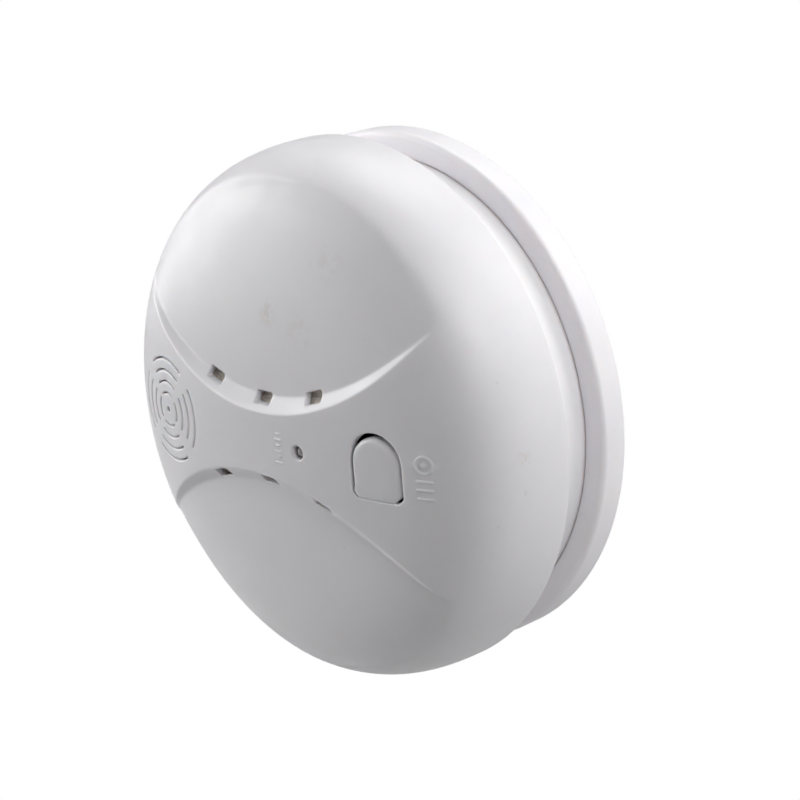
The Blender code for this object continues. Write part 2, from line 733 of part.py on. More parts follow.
def build_led(lens_material, spacer_material, parent):
    place = (LED_X, 0.0)
    tube = [
        (SPACER_RADII[0], SEAT),
        (SPACER_RADII[1], SEAT),
        (SPACER_RADII[1], SPACER_FRONT),
        (SPACER_RADII[0], SPACER_FRONT),
    ]
    finish(object_from("led_spacer", [turned(tube, SMALL_STEPS, place)]), spacer_material, parent)
    tip = dome_depth(LED_X) - LED_SUNK
    flange_back = SPACER_FRONT + GAP
    flange_front = flange_back + LED_FLANGE_THICKNESS
    lens = [(0.0, flange_back), (LED_FLANGE_RADIUS, flange_back), (LED_FLANGE_RADIUS, flange_front)]
    lens += [(LED_BODY_RADIUS, flange_front), (LED_BODY_RADIUS, LED_SHOULDER)]
    lens += [(LED_LENS_RADIUS, LED_SHOULDER + 0.4 * MM)]
    for step in range(1, 5):
        angle = 0.5 * math.pi * step / 4
        depth = tip - LED_LENS_RADIUS + LED_LENS_RADIUS * math.sin(angle)
        lens.append((LED_LENS_RADIUS * math.cos(angle) if step < 4 else 0.0, depth))
    led = object_from("indicator_led", [turned(lens, SMALL_STEPS, place)])
    legs = []
    for side in (-1.0, 1.0):
        x = LED_X + side * LED_LEG_OFFSET
        leg = rectangle(x - LED_LEG_HALF, x + LED_LEG_HALF, -LED_LEG_HALF, LED_LEG_HALF)
        legs.append(prism(leg, SEAT, flange_back + GAP))
    combine(led, legs, "UNION")
    finish(led, lens_material, parent)


def build_switch(body_material, frame_material, plunger_material, parent):
    x, z = SWITCH_PLACE
    square = rectangle(x - SWITCH_HALF, x + SWITCH_HALF, z - SWITCH_HALF, z + SWITCH_HALF)
    body = object_from("switch_body", [prism(square, SEAT, SWITCH_FRONT)])
    bore_back = PLUNGER_DEPTHS[0] - MM
    bore = cylinder(SWITCH_PLACE, SWITCH_BORE_RADIUS, bore_back, SWITCH_FRONT + MM)
    combine(body, [bore], "DIFFERENCE")
    finish(body, body_material, parent)
    back = SWITCH_FRONT + GAP
    frame = object_from("switch_frame", [prism(square, back, back + SWITCH_FRAME_THICKNESS)])
    hole = cylinder(SWITCH_PLACE, SWITCH_BORE_RADIUS, back - MM, back + MM)
    combine(frame, [hole], "DIFFERENCE")
    finish(frame, frame_material, parent)
    pin = cylinder(SWITCH_PLACE, PLUNGER_RADIUS, *PLUNGER_DEPTHS)
    plunger = object_from("switch_plunger", [pin])
    finish(plunger, plunger_material, parent, point(x, PLUNGER_DEPTHS[0], z))


def vane_angles():
    """Evenly spaced, leaving out those where the emitter and the photodiode come through."""
    kept = []
    for number in range(VANE_COUNT):
        angle = 2.0 * math.pi * number / VANE_COUNT
        from_emitter = abs(math.remainder(angle - EMITTER_ANGLE, 2.0 * math.pi))
        from_diode = abs(math.remainder(angle - DIODE_ANGLE, 2.0 * math.pi))
        if min(from_emitter, from_diode) > VANE_CLEARANCE:
            kept.append(angle)
    return kept


def build_smoke_chamber(black, screen_material, parent):
    lip = SEAT + 1.2 * MM
    inside = SEAT + 0.8 * MM
    base = [
        (0.0, SEAT),
        (CHAMBER_RADIUS, SEAT),
        (CHAMBER_RADIUS, lip),
        (CHAMBER_RADIUS - MM, lip),
        (CHAMBER_RADIUS - 1.4 * MM, inside),
        (0.0, inside),
    ]
    floor = object_from("chamber_base", [turned(base, CHAMBER_STEPS, CHAMBER_PLACE)])
    finish(floor, black, parent)
    roof_back = CHAMBER_FRONT - MM
    lid = cylinder(CHAMBER_PLACE, CHAMBER_RADIUS, roof_back, CHAMBER_FRONT, CHAMBER_STEPS)
    roof = object_from("chamber_cover", [lid])
    vanes = []
    for angle in vane_angles():
        half = VANE_LENGTH / 2
        thin = VANE_THICKNESS / 2
        vane = prism(rectangle(-half, half, -thin, thin), lip + GAP, roof_back + 0.5 * MM)
        spin = Matrix.Rotation(-angle - VANE_LEAN, 4, "Y")
        x = CHAMBER_PLACE[0] + VANE_CIRCLE * math.cos(angle)
        z = CHAMBER_PLACE[1] + VANE_CIRCLE * math.sin(angle)
        vanes.append(moved(vane, Matrix.Translation((x, 0.0, z)) @ spin))
    combine(roof, vanes, "UNION")
    finish(roof, black, parent)
    inner = CHAMBER_RADIUS + GAP
    outer = inner + SCREEN_THICKNESS
    band = [(inner, SEAT), (outer, SEAT), (outer, CHAMBER_FRONT), (inner, CHAMBER_FRONT)]
    screen = object_from("insect_screen", [turned(band, 2 * SCREEN_WINDOWS, CHAMBER_PLACE)])
    windows = []
    for number in range(SCREEN_WINDOWS):
        angle = 2.0 * math.pi * (number + 0.25) / SCREEN_WINDOWS
        half_turn = SCREEN_OPEN_SHARE * math.pi / SCREEN_WINDOWS
        start = angle - half_turn
        end = angle + half_turn
        outline = ring_sector(inner - MM, outer + MM, start, end, 1, CHAMBER_PLACE)
        windows.append(prism(outline, SEAT + 2.0 * MM, CHAMBER_FRONT - 1.5 * MM))
    combine(screen, windows, "DIFFERENCE")
    finish(screen, screen_material, parent)


def optic_place(angle, distance):
    """A transform that puts something made along +X at a distance from the chamber's centre,
    facing that centre."""
    x = CHAMBER_PLACE[0] + distance * math.cos(angle)
    z = CHAMBER_PLACE[1] + distance * math.sin(angle)
    return Matrix.Translation((x, -OPTICS_DEPTH, z)) @ Matrix.Rotation(math.pi - angle, 4, "Y")


def build_optics(emitter_material, diode_material, shield_material, parent):
    lens = [(0.0, -3.4 * MM), (2.5 * MM, -3.4 * MM), (2.5 * MM, 0.0), (2.2 * MM, 1.2 * MM)]
    lens += [(1.3 * MM, 2.1 * MM), (0.0, 2.4 * MM)]
    emitter = turned(lens, SMALL_STEPS)
    moved(emitter, Matrix.Rotation(math.radians(90.0), 4, "Z"))
    moved(emitter, optic_place(EMITTER_ANGLE, OPTICS_DISTANCE))
    finish(object_from("infrared_emitter", [emitter]), emitter_material, parent)
    half = 2.3 * MM
    diode = prism(rectangle(-1.0 * MM, 1.0 * MM, -half, half), -half, half)
    moved(diode, optic_place(DIODE_ANGLE, OPTICS_DISTANCE))
    finish(object_from("photodiode", [diode]), diode_material, parent)
    outer = 3.2 * MM
    inner = 2.7 * MM
    block = prism(rectangle(-2.4 * MM, 1.6 * MM, -outer, outer), -outer, outer)
    pocket = prism(rectangle(-1.9 * MM, 2.6 * MM, -inner, inner), -inner, inner)
    can = object_from("sensor_shield", [block])
    combine(can, [pocket], "DIFFERENCE")
    can.data.transform(optic_place(DIODE_ANGLE, OPTICS_DISTANCE))
    finish(can, shield_material, parent)


def build_sounder(horn_material, brass, ceramic, parent):
    place = (GRILLE_X, 0.0)
    wall = HORN_RADIUS - 1.5 * MM
    ledge = PIEZO_DEPTH + PIEZO_THICKNESS + GAP
    roof = HORN_FRONT - 1.4 * MM
    horn = [
        (wall, SEAT),
        (HORN_RADIUS, SEAT),
        (HORN_RADIUS, HORN_FRONT),
        (HORN_MOUTH_RADIUS, HORN_FRONT),
        (HORN_MOUTH_RADIUS, roof),
        (HORN_CAVITY_RADIUS, roof),
        (HORN_CAVITY_RADIUS, ledge),
        (wall, ledge),
    ]
    finish(object_from("horn_housing", [turned(horn, 36, place)]), horn_material, parent)
    disc = cylinder(place, wall - GAP, PIEZO_DEPTH, PIEZO_DEPTH + PIEZO_THICKNESS, MEDIUM_STEPS)
    finish(object_from("piezo_disc", [disc]), brass, parent)
    element_front = PIEZO_DEPTH - GAP
    element = cylinder(place, CERAMIC_RADIUS, element_front - CERAMIC_THICKNESS, element_front, 24)
    finish(object_from("piezo_ceramic", [element]), ceramic, parent)


def build_chip(material, parent):
    x, z = CHIP_PLACE
    half_x = CHIP_SIZE[0] / 2
    half_z = CHIP_SIZE[1] / 2
    outline = rectangle(x - half_x, x + half_x, z - half_z, z + half_z)
    chip = object_from("alarm_chip", [prism(outline, SEAT + 0.8 * MM, SEAT + 4.1 * MM)])
    pins = []
    for column in range(8):
        pin_x = x + (column - 3.5) * PIN_PITCH
        for side in (-1.0, 1.0):
            low = z + side * (half_z - 0.2 * MM)
            high = z + side * (half_z + 0.8 * MM)
            outline = rectangle(pin_x - 0.3 * MM, pin_x + 0.3 * MM, min(low, high), max(low, high))
            pins.append(prism(outline, SEAT, SEAT + 2.6 * MM))
    combine(chip, pins, "UNION")
    finish(chip, material, parent)


def build_passives(sleeve_material, core_material, parent):
    radius = 4.0 * MM
    length = 11.5 * MM
    can = [(0.0, 0.0), (radius - 0.4 * MM, 0.0), (radius, 0.4 * MM), (radius, 1.6 * MM)]
    can += [(radius - 0.3 * MM, 2.0 * MM), (radius, 2.4 * MM), (radius, length - 0.4 * MM)]
    can += [(radius - 0.4 * MM, length), (0.0, length)]
    capacitor = turned(can, 20)
    moved(capacitor, Matrix.Rotation(math.radians(90.0), 4, "Z"))
    x, z = CAPACITOR_PLACE
    moved(capacitor, Matrix.Translation((x - length / 2, -(SEAT + radius), z)))
    finish(object_from("electrolytic_capacitor", [capacitor]), sleeve_material, parent)
    drum = [(0.0, SEAT), (4.5 * MM, SEAT), (4.5 * MM, SEAT + 1.2 * MM), (3.6 * MM, SEAT + 1.5 * MM)]
    drum += [(3.6 * MM, SEAT + 6.5 * MM), (4.5 * MM, SEAT + 6.8 * MM), (4.5 * MM, SEAT + 8.0 * MM)]
    drum += [(0.0, SEAT + 8.0 * MM)]
    inductor = turned(drum, 20, INDUCTOR_PLACE)
    finish(object_from("boost_inductor", [inductor]), core_material, parent)


# ---------------------------------------------------------------- battery

def along_battery(mesh, side):
    """Stand something made along Y on the battery's terminal end instead, facing +X."""
    right = BATTERY_LEFT + BATTERY_LENGTH
    middle = 0.5 * (BATTERY_DEPTHS[0] + BATTERY_DEPTHS[1])
    z = WELL_CENTRE_Z + side * TERMINAL_HALF_SPACING
    turn = Matrix.Rotation(math.radians(90.0), 4, "Z")
    return moved(mesh, Matrix.Translation((right, -middle, z)) @ turn)


def build_battery(jacket, metal, parent):
    low = WELL_CENTRE_Z - BATTERY_HEIGHT / 2
    high = WELL_CENTRE_Z + BATTERY_HEIGHT / 2
    back, front = BATTERY_DEPTHS
    side_view = rounded_rectangle(back, front, low, high, 2.4 * MM, 4)
    mesh = prism(side_view, 0.0, BATTERY_LENGTH)
    moved(mesh, Matrix.Rotation(math.radians(90.0), 4, "Z"))
    moved(mesh, Matrix.Translation((BATTERY_LEFT, 0.0, 0.0)) @ Matrix.Scale(-1.0, 4, (0.0, 1.0, 0.0)))
    bmesh.ops.recalc_face_normals(mesh, faces=mesh.faces)
    finish(object_from("battery", [mesh]), jacket, parent)
    start = GAP
    end = GAP + TERMINAL_LENGTH
    small = [(0.0, start), (2.7 * MM, start), (2.9 * MM, start + MM), (2.7 * MM, end), (0.0, end)]
    positive = along_battery(turned(small, SMALL_STEPS), 1.0)
    finish(object_from("battery_positive_terminal", [positive]), metal, parent)
    web = start + 0.5 * MM
    large = [(0.0, start), (4.1 * MM, start), (4.1 * MM, end), (3.2 * MM, end)]
    large += [(3.2 * MM, web), (0.0, web)]
    negative = along_battery(turned(large, 6), -1.0)
    finish(object_from("battery_negative_terminal", [negative]), metal, parent)


def build_snap_connector(vinyl, metal, red, black, parent):
    right = BATTERY_LEFT + BATTERY_LENGTH
    start = right + GAP + TERMINAL_LENGTH + 0.5 * MM
    end = start + CONNECTOR_THICKNESS
    middle = 0.5 * (BATTERY_DEPTHS[0] + BATTERY_DEPTHS[1])
    half = 6.0 * MM
    low = WELL_CENTRE_Z - 12.5 * MM
    high = WELL_CENTRE_Z + 12.5 * MM
    side_view = rounded_rectangle(middle - half, middle + half, low, high, 4.0 * MM, 4)
    plate = prism(side_view, start, end)
    moved(plate, Matrix.Rotation(math.radians(90.0), 4, "Z"))
    moved(plate, Matrix.Scale(-1.0, 4, (0.0, 1.0, 0.0)))
    bmesh.ops.recalc_face_normals(plate, faces=plate.faces)
    finish(object_from("snap_connector", [plate]), vinyl, parent)
    near = start - right - GAP
    socket = [(3.3 * MM, GAP), (4.1 * MM, GAP), (4.1 * MM, near), (3.3 * MM, near)]
    finish(object_from("snap_socket", [along_battery(turned(socket, 12), 1.0)]), metal, parent)
    stud = [(0.0, 1.2 * MM), (2.2 * MM, 1.2 * MM), (2.4 * MM, 2.0 * MM), (2.2 * MM, near), (0.0, near)]
    finish(object_from("snap_stud", [along_battery(turned(stud, 12), -1.0)]), metal, parent)
    for name, side, material in (("red_lead", 1.0, red), ("black_lead", -1.0, black)):
        build_lead(name, side, end + GAP, material, parent)


def build_lead(name, side, start_x, material, parent):
    """A lead from the back of the connector, through the well's front, to the board."""
    middle = 0.5 * (BATTERY_DEPTHS[0] + BATTERY_DEPTHS[1])
    near = side * 1.1 * MM
    route = [
        point(start_x, middle, WELL_CENTRE_Z + side * 4.0 * MM),
        point(LEAD_X - 0.3 * MM, middle + 0.5 * MM, WELL_CENTRE_Z + side * 3.7 * MM),
        point(LEAD_X, middle + 2.0 * MM, WELL_CENTRE_Z + side * 2.8 * MM),
        point(LEAD_X, 18.5 * MM, WELL_CENTRE_Z + near),
        point(LEAD_X, WELL_FRONT, WELL_CENTRE_Z + near),
        point(LEAD_X, BOARD_BACK - GAP, WELL_CENTRE_Z + near),
    ]
    curve = bpy.data.curves.new(name, "CURVE")
    curve.dimensions = "3D"
    curve.bevel_depth = LEAD_RADIUS
    curve.bevel_resolution = 2
    curve.use_fill_caps = True
    spline = curve.splines.new("POLY")
    spline.points.add(len(route) - 1)
    for place, handle in zip(route, spline.points):
        handle.co = (*place, 1.0)
    curve.materials.append(material)
    lead = bpy.data.objects.new(name, curve)
    bpy.context.scene.collection.objects.link(lead)
    lead.parent = parent


# ---------------------------------------------------------------- screws

def build_screw(name, place, seat, length, shank, head, material, parent):
    """A cross-head screw driven towards the front from depth seat, or to the back when its
    length is negative."""
    towards = math.copysign(1.0, length)
    thickness = SCREW_HEAD_THICKNESS
    profile = [
        (0.0, seat - towards * thickness),
        (head * 0.75, seat - towards * thickness),
        (head, seat - towards * 0.5 * thickness),
        (head, seat),
        (shank, seat),
        (shank, seat + length - towards * MM),
        (0.0, seat + length),
    ]
    screw = object_from(name, [turned(profile, SCREW_STEPS, place)])
    x, z = place
    arm = head * 0.62
    slit = 0.22 * MM + 0.08 * head
    floor = seat - towards * 0.5 * thickness
    outside = seat - towards * (thickness + MM)
    low = min(floor, outside)
    high = max(floor, outside)
    for wide, tall in ((arm, slit), (slit, arm)):
        cross = prism(rectangle(x - wide, x + wide, z - tall, z + tall), low, high)
        combine(screw, [cross], "DIFFERENCE")
    finish(screw, material, parent)


def build_screws(material, parent):
    for number, place in enumerate(boss_places(), 1):
        seat = COUNTERBORE_FRONT - GAP
        name = f"housing_screw_{number}"
        build_screw(name, place, seat, *HOUSING_SCREW, material, parent)
    for number, place in enumerate(POST_PLACES, 1):
        seat = BOARD_FRONT + GAP
        build_screw(f"board_screw_{number}", place, seat, *BOARD_SCREW, material, parent)


# ---------------------------------------------------------------- assembly

def main():
    clear_scene()
    housing_white = make_material("housing_white", (0.83, 0.83, 0.84), 0.42)
    base_white = make_material("base_white", (0.85, 0.85, 0.86), 0.45)
    button_white = make_material("button_white", (0.82, 0.82, 0.83), 0.40)
    head = bpy.data.objects.new("head", None)
    bpy.context.scene.collection.objects.link(head)

    build_mounting_base(base_white)
    build_rear_housing(make_material("neck_white", (0.82, 0.82, 0.83), 0.45), head)
    build_front_cover(housing_white, head)
    build_vent_gauzes(make_material("gauze_grey", (0.60, 0.56, 0.51), 0.6), head)
    build_test_button(button_white, head)
    build_circuit_board(make_material("board_green", (0.03, 0.22, 0.08), 0.45), head)
    lens = make_material("led_lens", (0.62, 0.60, 0.60), 0.12)
    build_led(lens, make_material("spacer_black", (0.03, 0.03, 0.03), 0.5), head)
    switch_black = make_material("switch_black", (0.02, 0.02, 0.02), 0.5)
    tin = make_material("tinned_steel", (0.72, 0.72, 0.70), 0.3, 1.0)
    build_switch(switch_black, tin, make_material("plunger_red", (0.35, 0.03, 0.02), 0.45), head)
    chamber_black = make_material("chamber_black", (0.012, 0.012, 0.012), 0.75)
    steel = make_material("screen_steel", (0.55, 0.55, 0.56), 0.35, 1.0)
    build_smoke_chamber(chamber_black, steel, head)
    emitter = make_material("emitter_blue", (0.10, 0.12, 0.22), 0.15)
    diode = make_material("diode_dark", (0.03, 0.02, 0.02), 0.2)
    build_optics(emitter, diode, tin, head)
    horn = make_material("horn_white", (0.76, 0.75, 0.72), 0.5)
    brass = make_material("brass", (0.78, 0.60, 0.25), 0.3, 1.0)
    build_sounder(horn, brass, make_material("ceramic_white", (0.80, 0.78, 0.72), 0.5), head)
    build_chip(make_material("chip_black", (0.02, 0.02, 0.02), 0.55), head)
    sleeve = make_material("capacitor_sleeve", (0.03, 0.04, 0.10), 0.35)
    build_passives(sleeve, make_material("ferrite_grey", (0.10, 0.10, 0.10), 0.6), head)
    jacket = make_material("battery_jacket", (0.04, 0.08, 0.20), 0.35)
    nickel = make_material("nickel", (0.75, 0.73, 0.68), 0.25, 1.0)
    build_battery(jacket, nickel, head)
    vinyl = make_material("connector_vinyl", (0.03, 0.03, 0.03), 0.5)
    red = make_material("lead_red", (0.45, 0.02, 0.02), 0.45)
    black = make_material("lead_black", (0.02, 0.02, 0.02), 0.45)
    build_snap_connector(vinyl, nickel, red, black, head)
    build_screws(make_material("screw_steel", (0.60, 0.60, 0.58), 0.3, 1.0), head)


main()
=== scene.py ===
"""Visual model of a round battery smoke detector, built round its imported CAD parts.

Lengths are metres. The detector's back lies in the plane Y = 0 and it faces -Y. "Depth" is
the distance from that plane towards the front, so a point at depth d has Y = -d.
"""

import json
import math

import bmesh
import bpy
import numpy as np
from mathutils import Matrix, Vector
from mathutils.geometry import delaunay_2d_cdt
from mathutils.kdtree import KDTree


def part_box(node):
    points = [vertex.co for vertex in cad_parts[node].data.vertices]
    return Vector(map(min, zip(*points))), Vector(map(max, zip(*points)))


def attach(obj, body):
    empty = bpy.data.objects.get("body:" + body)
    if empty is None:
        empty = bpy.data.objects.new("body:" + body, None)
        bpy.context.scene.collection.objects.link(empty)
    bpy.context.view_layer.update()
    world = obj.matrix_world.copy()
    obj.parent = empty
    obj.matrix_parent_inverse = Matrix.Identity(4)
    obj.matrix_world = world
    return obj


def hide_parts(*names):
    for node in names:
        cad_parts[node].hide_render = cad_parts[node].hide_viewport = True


MM = 0.001

# Dome of the cover: radius and depth follow a superellipse plus a shallow crown
SIDE_POWER = 8.07
FRONT_POWER = 2.8
CROWN = 8.41 * MM
WALL = 1.5 * MM
RIM_FILLET = 0.4 * MM

# Scoops above and below the raised band: a wall of even slope between a brow and a foot arc
BROW_RADIUS = 52.7 * MM
BROW_HALF_BAND = 6.35 * MM
FOOT_RADIUS = 56.5 * MM
FOOT_HALF_BAND = 9.14 * MM
SCOOP_DEPTH = 2.18 * MM
SCOOP_FADE = (47.4 * MM, 50.7 * MM)
BROW_ROUNDING = 0.18 * MM
FOOT_ROUNDING = 0.25 * MM
SCOOP_LINE_END = 43.0 * MM
RUN_BLEND = 0.6 * MM
WALL_SHARES = (0.0, 0.15, 0.3, 0.5, 0.7, 0.85, 1.0)
INNER_WALL_SHARES = (0.0, 0.5, 1.0)
LINES_ABOVE_FOOT = (0.2 * MM, 0.5 * MM, 0.9 * MM)
LINES_BELOW_BROW = (-0.9 * MM, -0.5 * MM, -0.2 * MM)

# Openings. Rows of vents: side, places along X, distance of their middle from the brow arc, height
VENT_ROWS = (
    (1.0, (-13.7 * MM, 1.1 * MM, 15.2 * MM), 2.3 * MM, 2.3 * MM),
    (-1.0, (-13.4 * MM, 1.8 * MM, 16.0 * MM), 1.3 * MM, 1.7 * MM),
)
VENT_WIDTH = 4.5 * MM
VENT_CORNER = 0.3 * MM
VENT_FILLET = 0.2 * MM
GAUZE_SPAN = (-19.0 * MM, 21.5 * MM)
GAUZE_INNER_Z = 3.6 * MM
GAUZE_HEIGHT = 9.8 * MM
GAUZE_THICKNESS = 0.3 * MM
GAUZE_CLEARANCE = 0.25 * MM
GAUZE_SPACING = 0.7 * MM
GAUZE_PITCH = 0.45 * MM
GAUZE_THREAD_HEIGHT = 0.05 * MM
GAUZE_MOTTLE = 1.2 * MM
GAUZE_GLOSS_SIZE = 2.0 * MM
GRILLE_X = -31.5 * MM
GRILLE_RADII = (3.5 * MM, 5.9 * MM, 8.3 * MM, 10.7 * MM)
GRILLE_SLOT = 0.34 * MM
GRILLE_CENTRE_RADIUS = 0.55 * MM
GRILLE_HALF_ANGLE = math.radians(34.0)
GRILLE_FILLET = 0.3 * MM
LED_X = 11.7 * MM
LED_HOLE_RADIUS = 1.4 * MM
LED_FILLET = 0.3 * MM
BUTTON_FILLET = 0.2 * MM
FILLET_ANGLES = (0.0, 30.0, 60.0, 90.0)

# Test button
BUTTON_HINGE_Z = -6.3 * MM
OPENING_CENTRE = (30.65 * MM, 1.05 * MM)
OPENING_RADIUS = 5.85 * MM
OPENING_CORNER = 0.5 * MM
TONGUE_CENTRE = (30.35 * MM, 0.65 * MM)
TONGUE_RADIUS = 5.2 * MM
CORNER_CUT = 1.2 * MM
HINGE_GAP = 0.08 * MM
TONGUE_WALL = 1.8 * MM
HINGE_WALL = 0.8 * MM
TONGUE_SUNK = 0.1 * MM
TONGUE_FILLET = 1.0 * MM
TONGUE_CORNER = 0.6 * MM
TONGUE_SPACING = 0.8 * MM
TONGUE_GRID_RADIUS = 9.0 * MM
TONGUE_GRID_MARGIN = 0.3 * MM
HINGE_FILLET = 0.1 * MM
HINGE_STRIP = 0.3 * MM
HINGE_RAMP = 2.0 * MM
PUSHER_RADIUS = 1.7 * MM
PUSHER_BEVEL = 0.3 * MM
PUSHER_GAP = 0.3 * MM

# Indicator
LED_BACK = 37.7 * MM
LED_FLANGE_RADIUS = 1.9 * MM
LED_FLANGE_FRONT = 38.3 * MM
LED_BEVEL = 0.1 * MM
LED_BODY_RADIUS = 1.5 * MM
LED_BODY_FRONT = 41.0 * MM
LENS_RADIUS = 1.1 * MM
LENS_STEPS = 8
LEG_OFFSET = 0.7 * MM
LEG_RADIUS = 0.28 * MM
LEG_FRONT = 38.0 * MM

# Mesh spacing
CDT_RADIUS = 48.5 * MM
INNER_CDT_RADIUS = 47.5 * MM
SECTORS = 360
FACE_SPACING = 1.2 * MM
INSIDE_SPACING = 3.6 * MM
LOOP_SPACING = 0.35 * MM
MARK_SPACING = 0.14 * MM
LINE_SPACING = 0.8 * MM
LINE_CLEARANCE = 0.5 * MM
FILLET_APRON = 0.3 * MM
RIM_SHARE = 0.0009
SHOULDER_RINGS = 30
INSIDE_RINGS = 12
ROUND_STEPS = 256
CORNER_STEPS = 8
BOSS_STEPS = 32
PROFILE_SAMPLES = 400
SHARP_ANGLE = math.radians(38.0)

# Raised generic marks: a ring over three dashes beside the button, ticks beside the indicator
MARK_HEIGHT = 0.2 * MM
MARK_EDGE = 0.16 * MM
RING_CENTRE = (41.0 * MM, 2.0 * MM)
RING_RADIUS = 1.6 * MM
RING_HALF_WIDTH = 0.24 * MM
DASH_ENDS = (39.6 * MM, 42.4 * MM)
DASH_HEIGHTS = (-1.1 * MM, -2.8 * MM, -4.5 * MM)
DASH_HALF_WIDTH = 0.22 * MM
TICK_COUNT = 6
TICK_X = 6.6 * MM
TICK_TOP = 2.9 * MM
TICK_PITCH = 1.15 * MM
TICK_REACHES = (0.45 * MM, 0.85 * MM)
TICK_HALF_WIDTH = 0.14 * MM
# Boxes round the marks in millimetres: lowest and highest x, lowest and highest z
MARK_BOXES = ((39.0, 43.0, -5.1, 4.1), (5.4, 7.8, -3.3, 3.4))

# Camera
CAMERA_AIM = Vector((6.08 * MM, -13.72 * MM, 0.98 * MM))
CAMERA_AZIMUTH = math.radians(47.82)
CAMERA_ELEVATION = math.radians(17.37)
CAMERA_ROLL = math.radians(4.02)
CAMERA_DISTANCE = 420.4 * MM
CAMERA_LENS = 94.5

# Softboxes: name, azimuth, elevation, power
SOFTBOXES = (
    ("right_high", 140.0, 38.0, 3.7),
    ("right_low", 125.0, 12.0, 1.65),
    ("front_high", 80.0, 38.0, 5.3),
    ("left_low", -75.0, 12.0, 4.2),
    ("left_front", -55.0, 12.0, 3.9),
    ("left_high", -55.0, 38.0, 1.1),
    ("back_high", -150.0, 64.0, 3.6),
)
SOFTBOX_DISTANCE = 1.0
SOFTBOX_WIDTH = 0.6
AMBIENT_GREY = 0.01
FLOOR_GREY = 0.5
FLOOR_Z = -0.35
FLOOR_SIZE = 60.0


# ---------------- the frame's own sizes

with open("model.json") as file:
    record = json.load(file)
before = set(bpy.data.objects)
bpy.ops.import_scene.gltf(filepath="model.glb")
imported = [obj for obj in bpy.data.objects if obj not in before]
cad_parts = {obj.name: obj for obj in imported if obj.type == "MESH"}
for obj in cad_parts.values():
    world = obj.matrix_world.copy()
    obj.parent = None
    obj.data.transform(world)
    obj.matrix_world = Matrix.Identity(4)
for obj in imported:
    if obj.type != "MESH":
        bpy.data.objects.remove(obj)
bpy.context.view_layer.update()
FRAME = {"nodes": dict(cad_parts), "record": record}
COVER_LOW, COVER_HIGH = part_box("front_cover")
COVER_RADIUS = COVER_HIGH.x
COVER_FRONT = -COVER_LOW.y
COVER_BACK = -COVER_HIGH.y


# ---------------- mesh helpers

def object_from(name, vertices, faces):
    """A shaded object from points and faces."""
    data = bpy.data.meshes.new(name)
    data.from_pydata([tuple(v) for v in vertices], [], [tuple(f) for f in faces])
    mesh = bmesh.new()
    mesh.from_mesh(data)
    bmesh.ops.recalc_face_normals(mesh, faces=mesh.faces)
    mesh.to_mesh(data)
    mesh.free()
    made = bpy.data.objects.new(name, data)
    bpy.context.scene.collection.objects.link(made)
    shade(made)
    return made


def shade(thing):
    """Smooth shading that keeps real edges."""
    thing.data.shade_smooth()
    thing.data.set_sharp_from_angle(angle=SHARP_ANGLE)


class Shell:
    """Points and faces of one surface, gathered before it becomes an object."""

    def __init__(self):
        self.vertices = []
        self.faces = []

    def add_points(self, x, depth, z):
        """Add points and return their numbers."""
        start = len(self.vertices)
        self.vertices.extend(zip(x.tolist(), (-depth).tolist(), z.tolist()))
        return list(range(start, len(self.vertices)))

    def add_ring(self, radius, depth, steps, centre=(0.0, 0.0)):
        """Add a ring of points about an axis along Y; depth is one value or one per point."""
        x, z = circle(centre, radius, steps).T
        return self.add_points(x, np.broadcast_to(depth, x.shape), z)

    def bridge(self, lower, upper):
        """Faces between two loops with the same number of points, or a loop and one point."""
        count = max(len(lower), len(upper))
        lower = lower * (count // len(lower))
        upper = upper * (count // len(upper))
        for step in range(count):
            after = (step + 1) % count
            face = (lower[step], lower[after], upper[after], upper[step])
            self.faces.append(tuple(dict.fromkeys(face)))

    def bridge_all(self, loops):
        """Faces between each loop and the next."""
        for lower, upper in zip(loops, loops[1:]):
            self.bridge(lower, upper)

    def add_turned(self, profile, steps, centre=(0.0, 0.0)):
        """Turn (radius, depth) points, which start and end on an axis, about it."""
        counts = [1] + [steps] * (len(profile) - 2) + [1]
        rings = zip(profile, counts)
        self.bridge_all([self.add_ring(*point, count, centre) for point, count in rings])

    def add_sheet(self, points, faces, depth, outlines, loops):
        """Add the faces that lie outside every outline; return the loops' point numbers."""
        middles = points[faces].mean(1)
        cut = np.zeros(len(faces), bool)
        for outline in outlines:
            near = boxed(middles, outline, 0.0)
            cut[near] |= distance_to_loop(middles[near], outline) < 0.0
        kept = faces[~cut]
        used = np.unique(kept)
        numbers = np.full(len(points), -1)
        numbers[used] = self.add_points(points[used, 0], depth[used], points[used, 1])
        self.faces += [tuple(face) for face in numbers[kept]]
        return [numbers[loop].tolist() for loop in loops]

    def to_object(self, name):
        return object_from(name, self.vertices, self.faces)


def combine(target, tool, operation):
    """Join a closed object to another, or cut it away, and remove the tool."""
    modifier = target.modifiers.new("combine", "BOOLEAN")
    modifier.operation = operation
    modifier.solver = "EXACT"
    modifier.object = tool
    bpy.context.view_layer.update()
    graph = bpy.context.evaluated_depsgraph_get()
    result = bpy.data.meshes.new_from_object(target.evaluated_get(graph))
    target.modifiers.clear()
    target.data = result
    bpy.data.objects.remove(tool, do_unlink=True)
    shade(target)


def turned_object(name, profile, steps, centre=(0.0, 0.0)):
    shell = Shell()
    shell.add_turned(profile, steps, centre)
    return shell.to_object(name)


def prisms_object(name, outlines, back, front):
    """Blocks with (x, z) outlines between two depths, as one object."""
    shell = Shell()
    for outline in outlines:
        flat = np.array(outline)
        ends = []
        for depth in (back, front):
            ends.append(shell.add_points(flat[:, 0], np.full(len(flat), depth), flat[:, 1]))
            shell.faces.append(tuple(ends[-1]))
        shell.bridge(*ends)
    return shell.to_object(name)


def add_prisms(target, outlines, back, front):
    combine(target, prisms_object("added", outlines, back, front), "UNION")


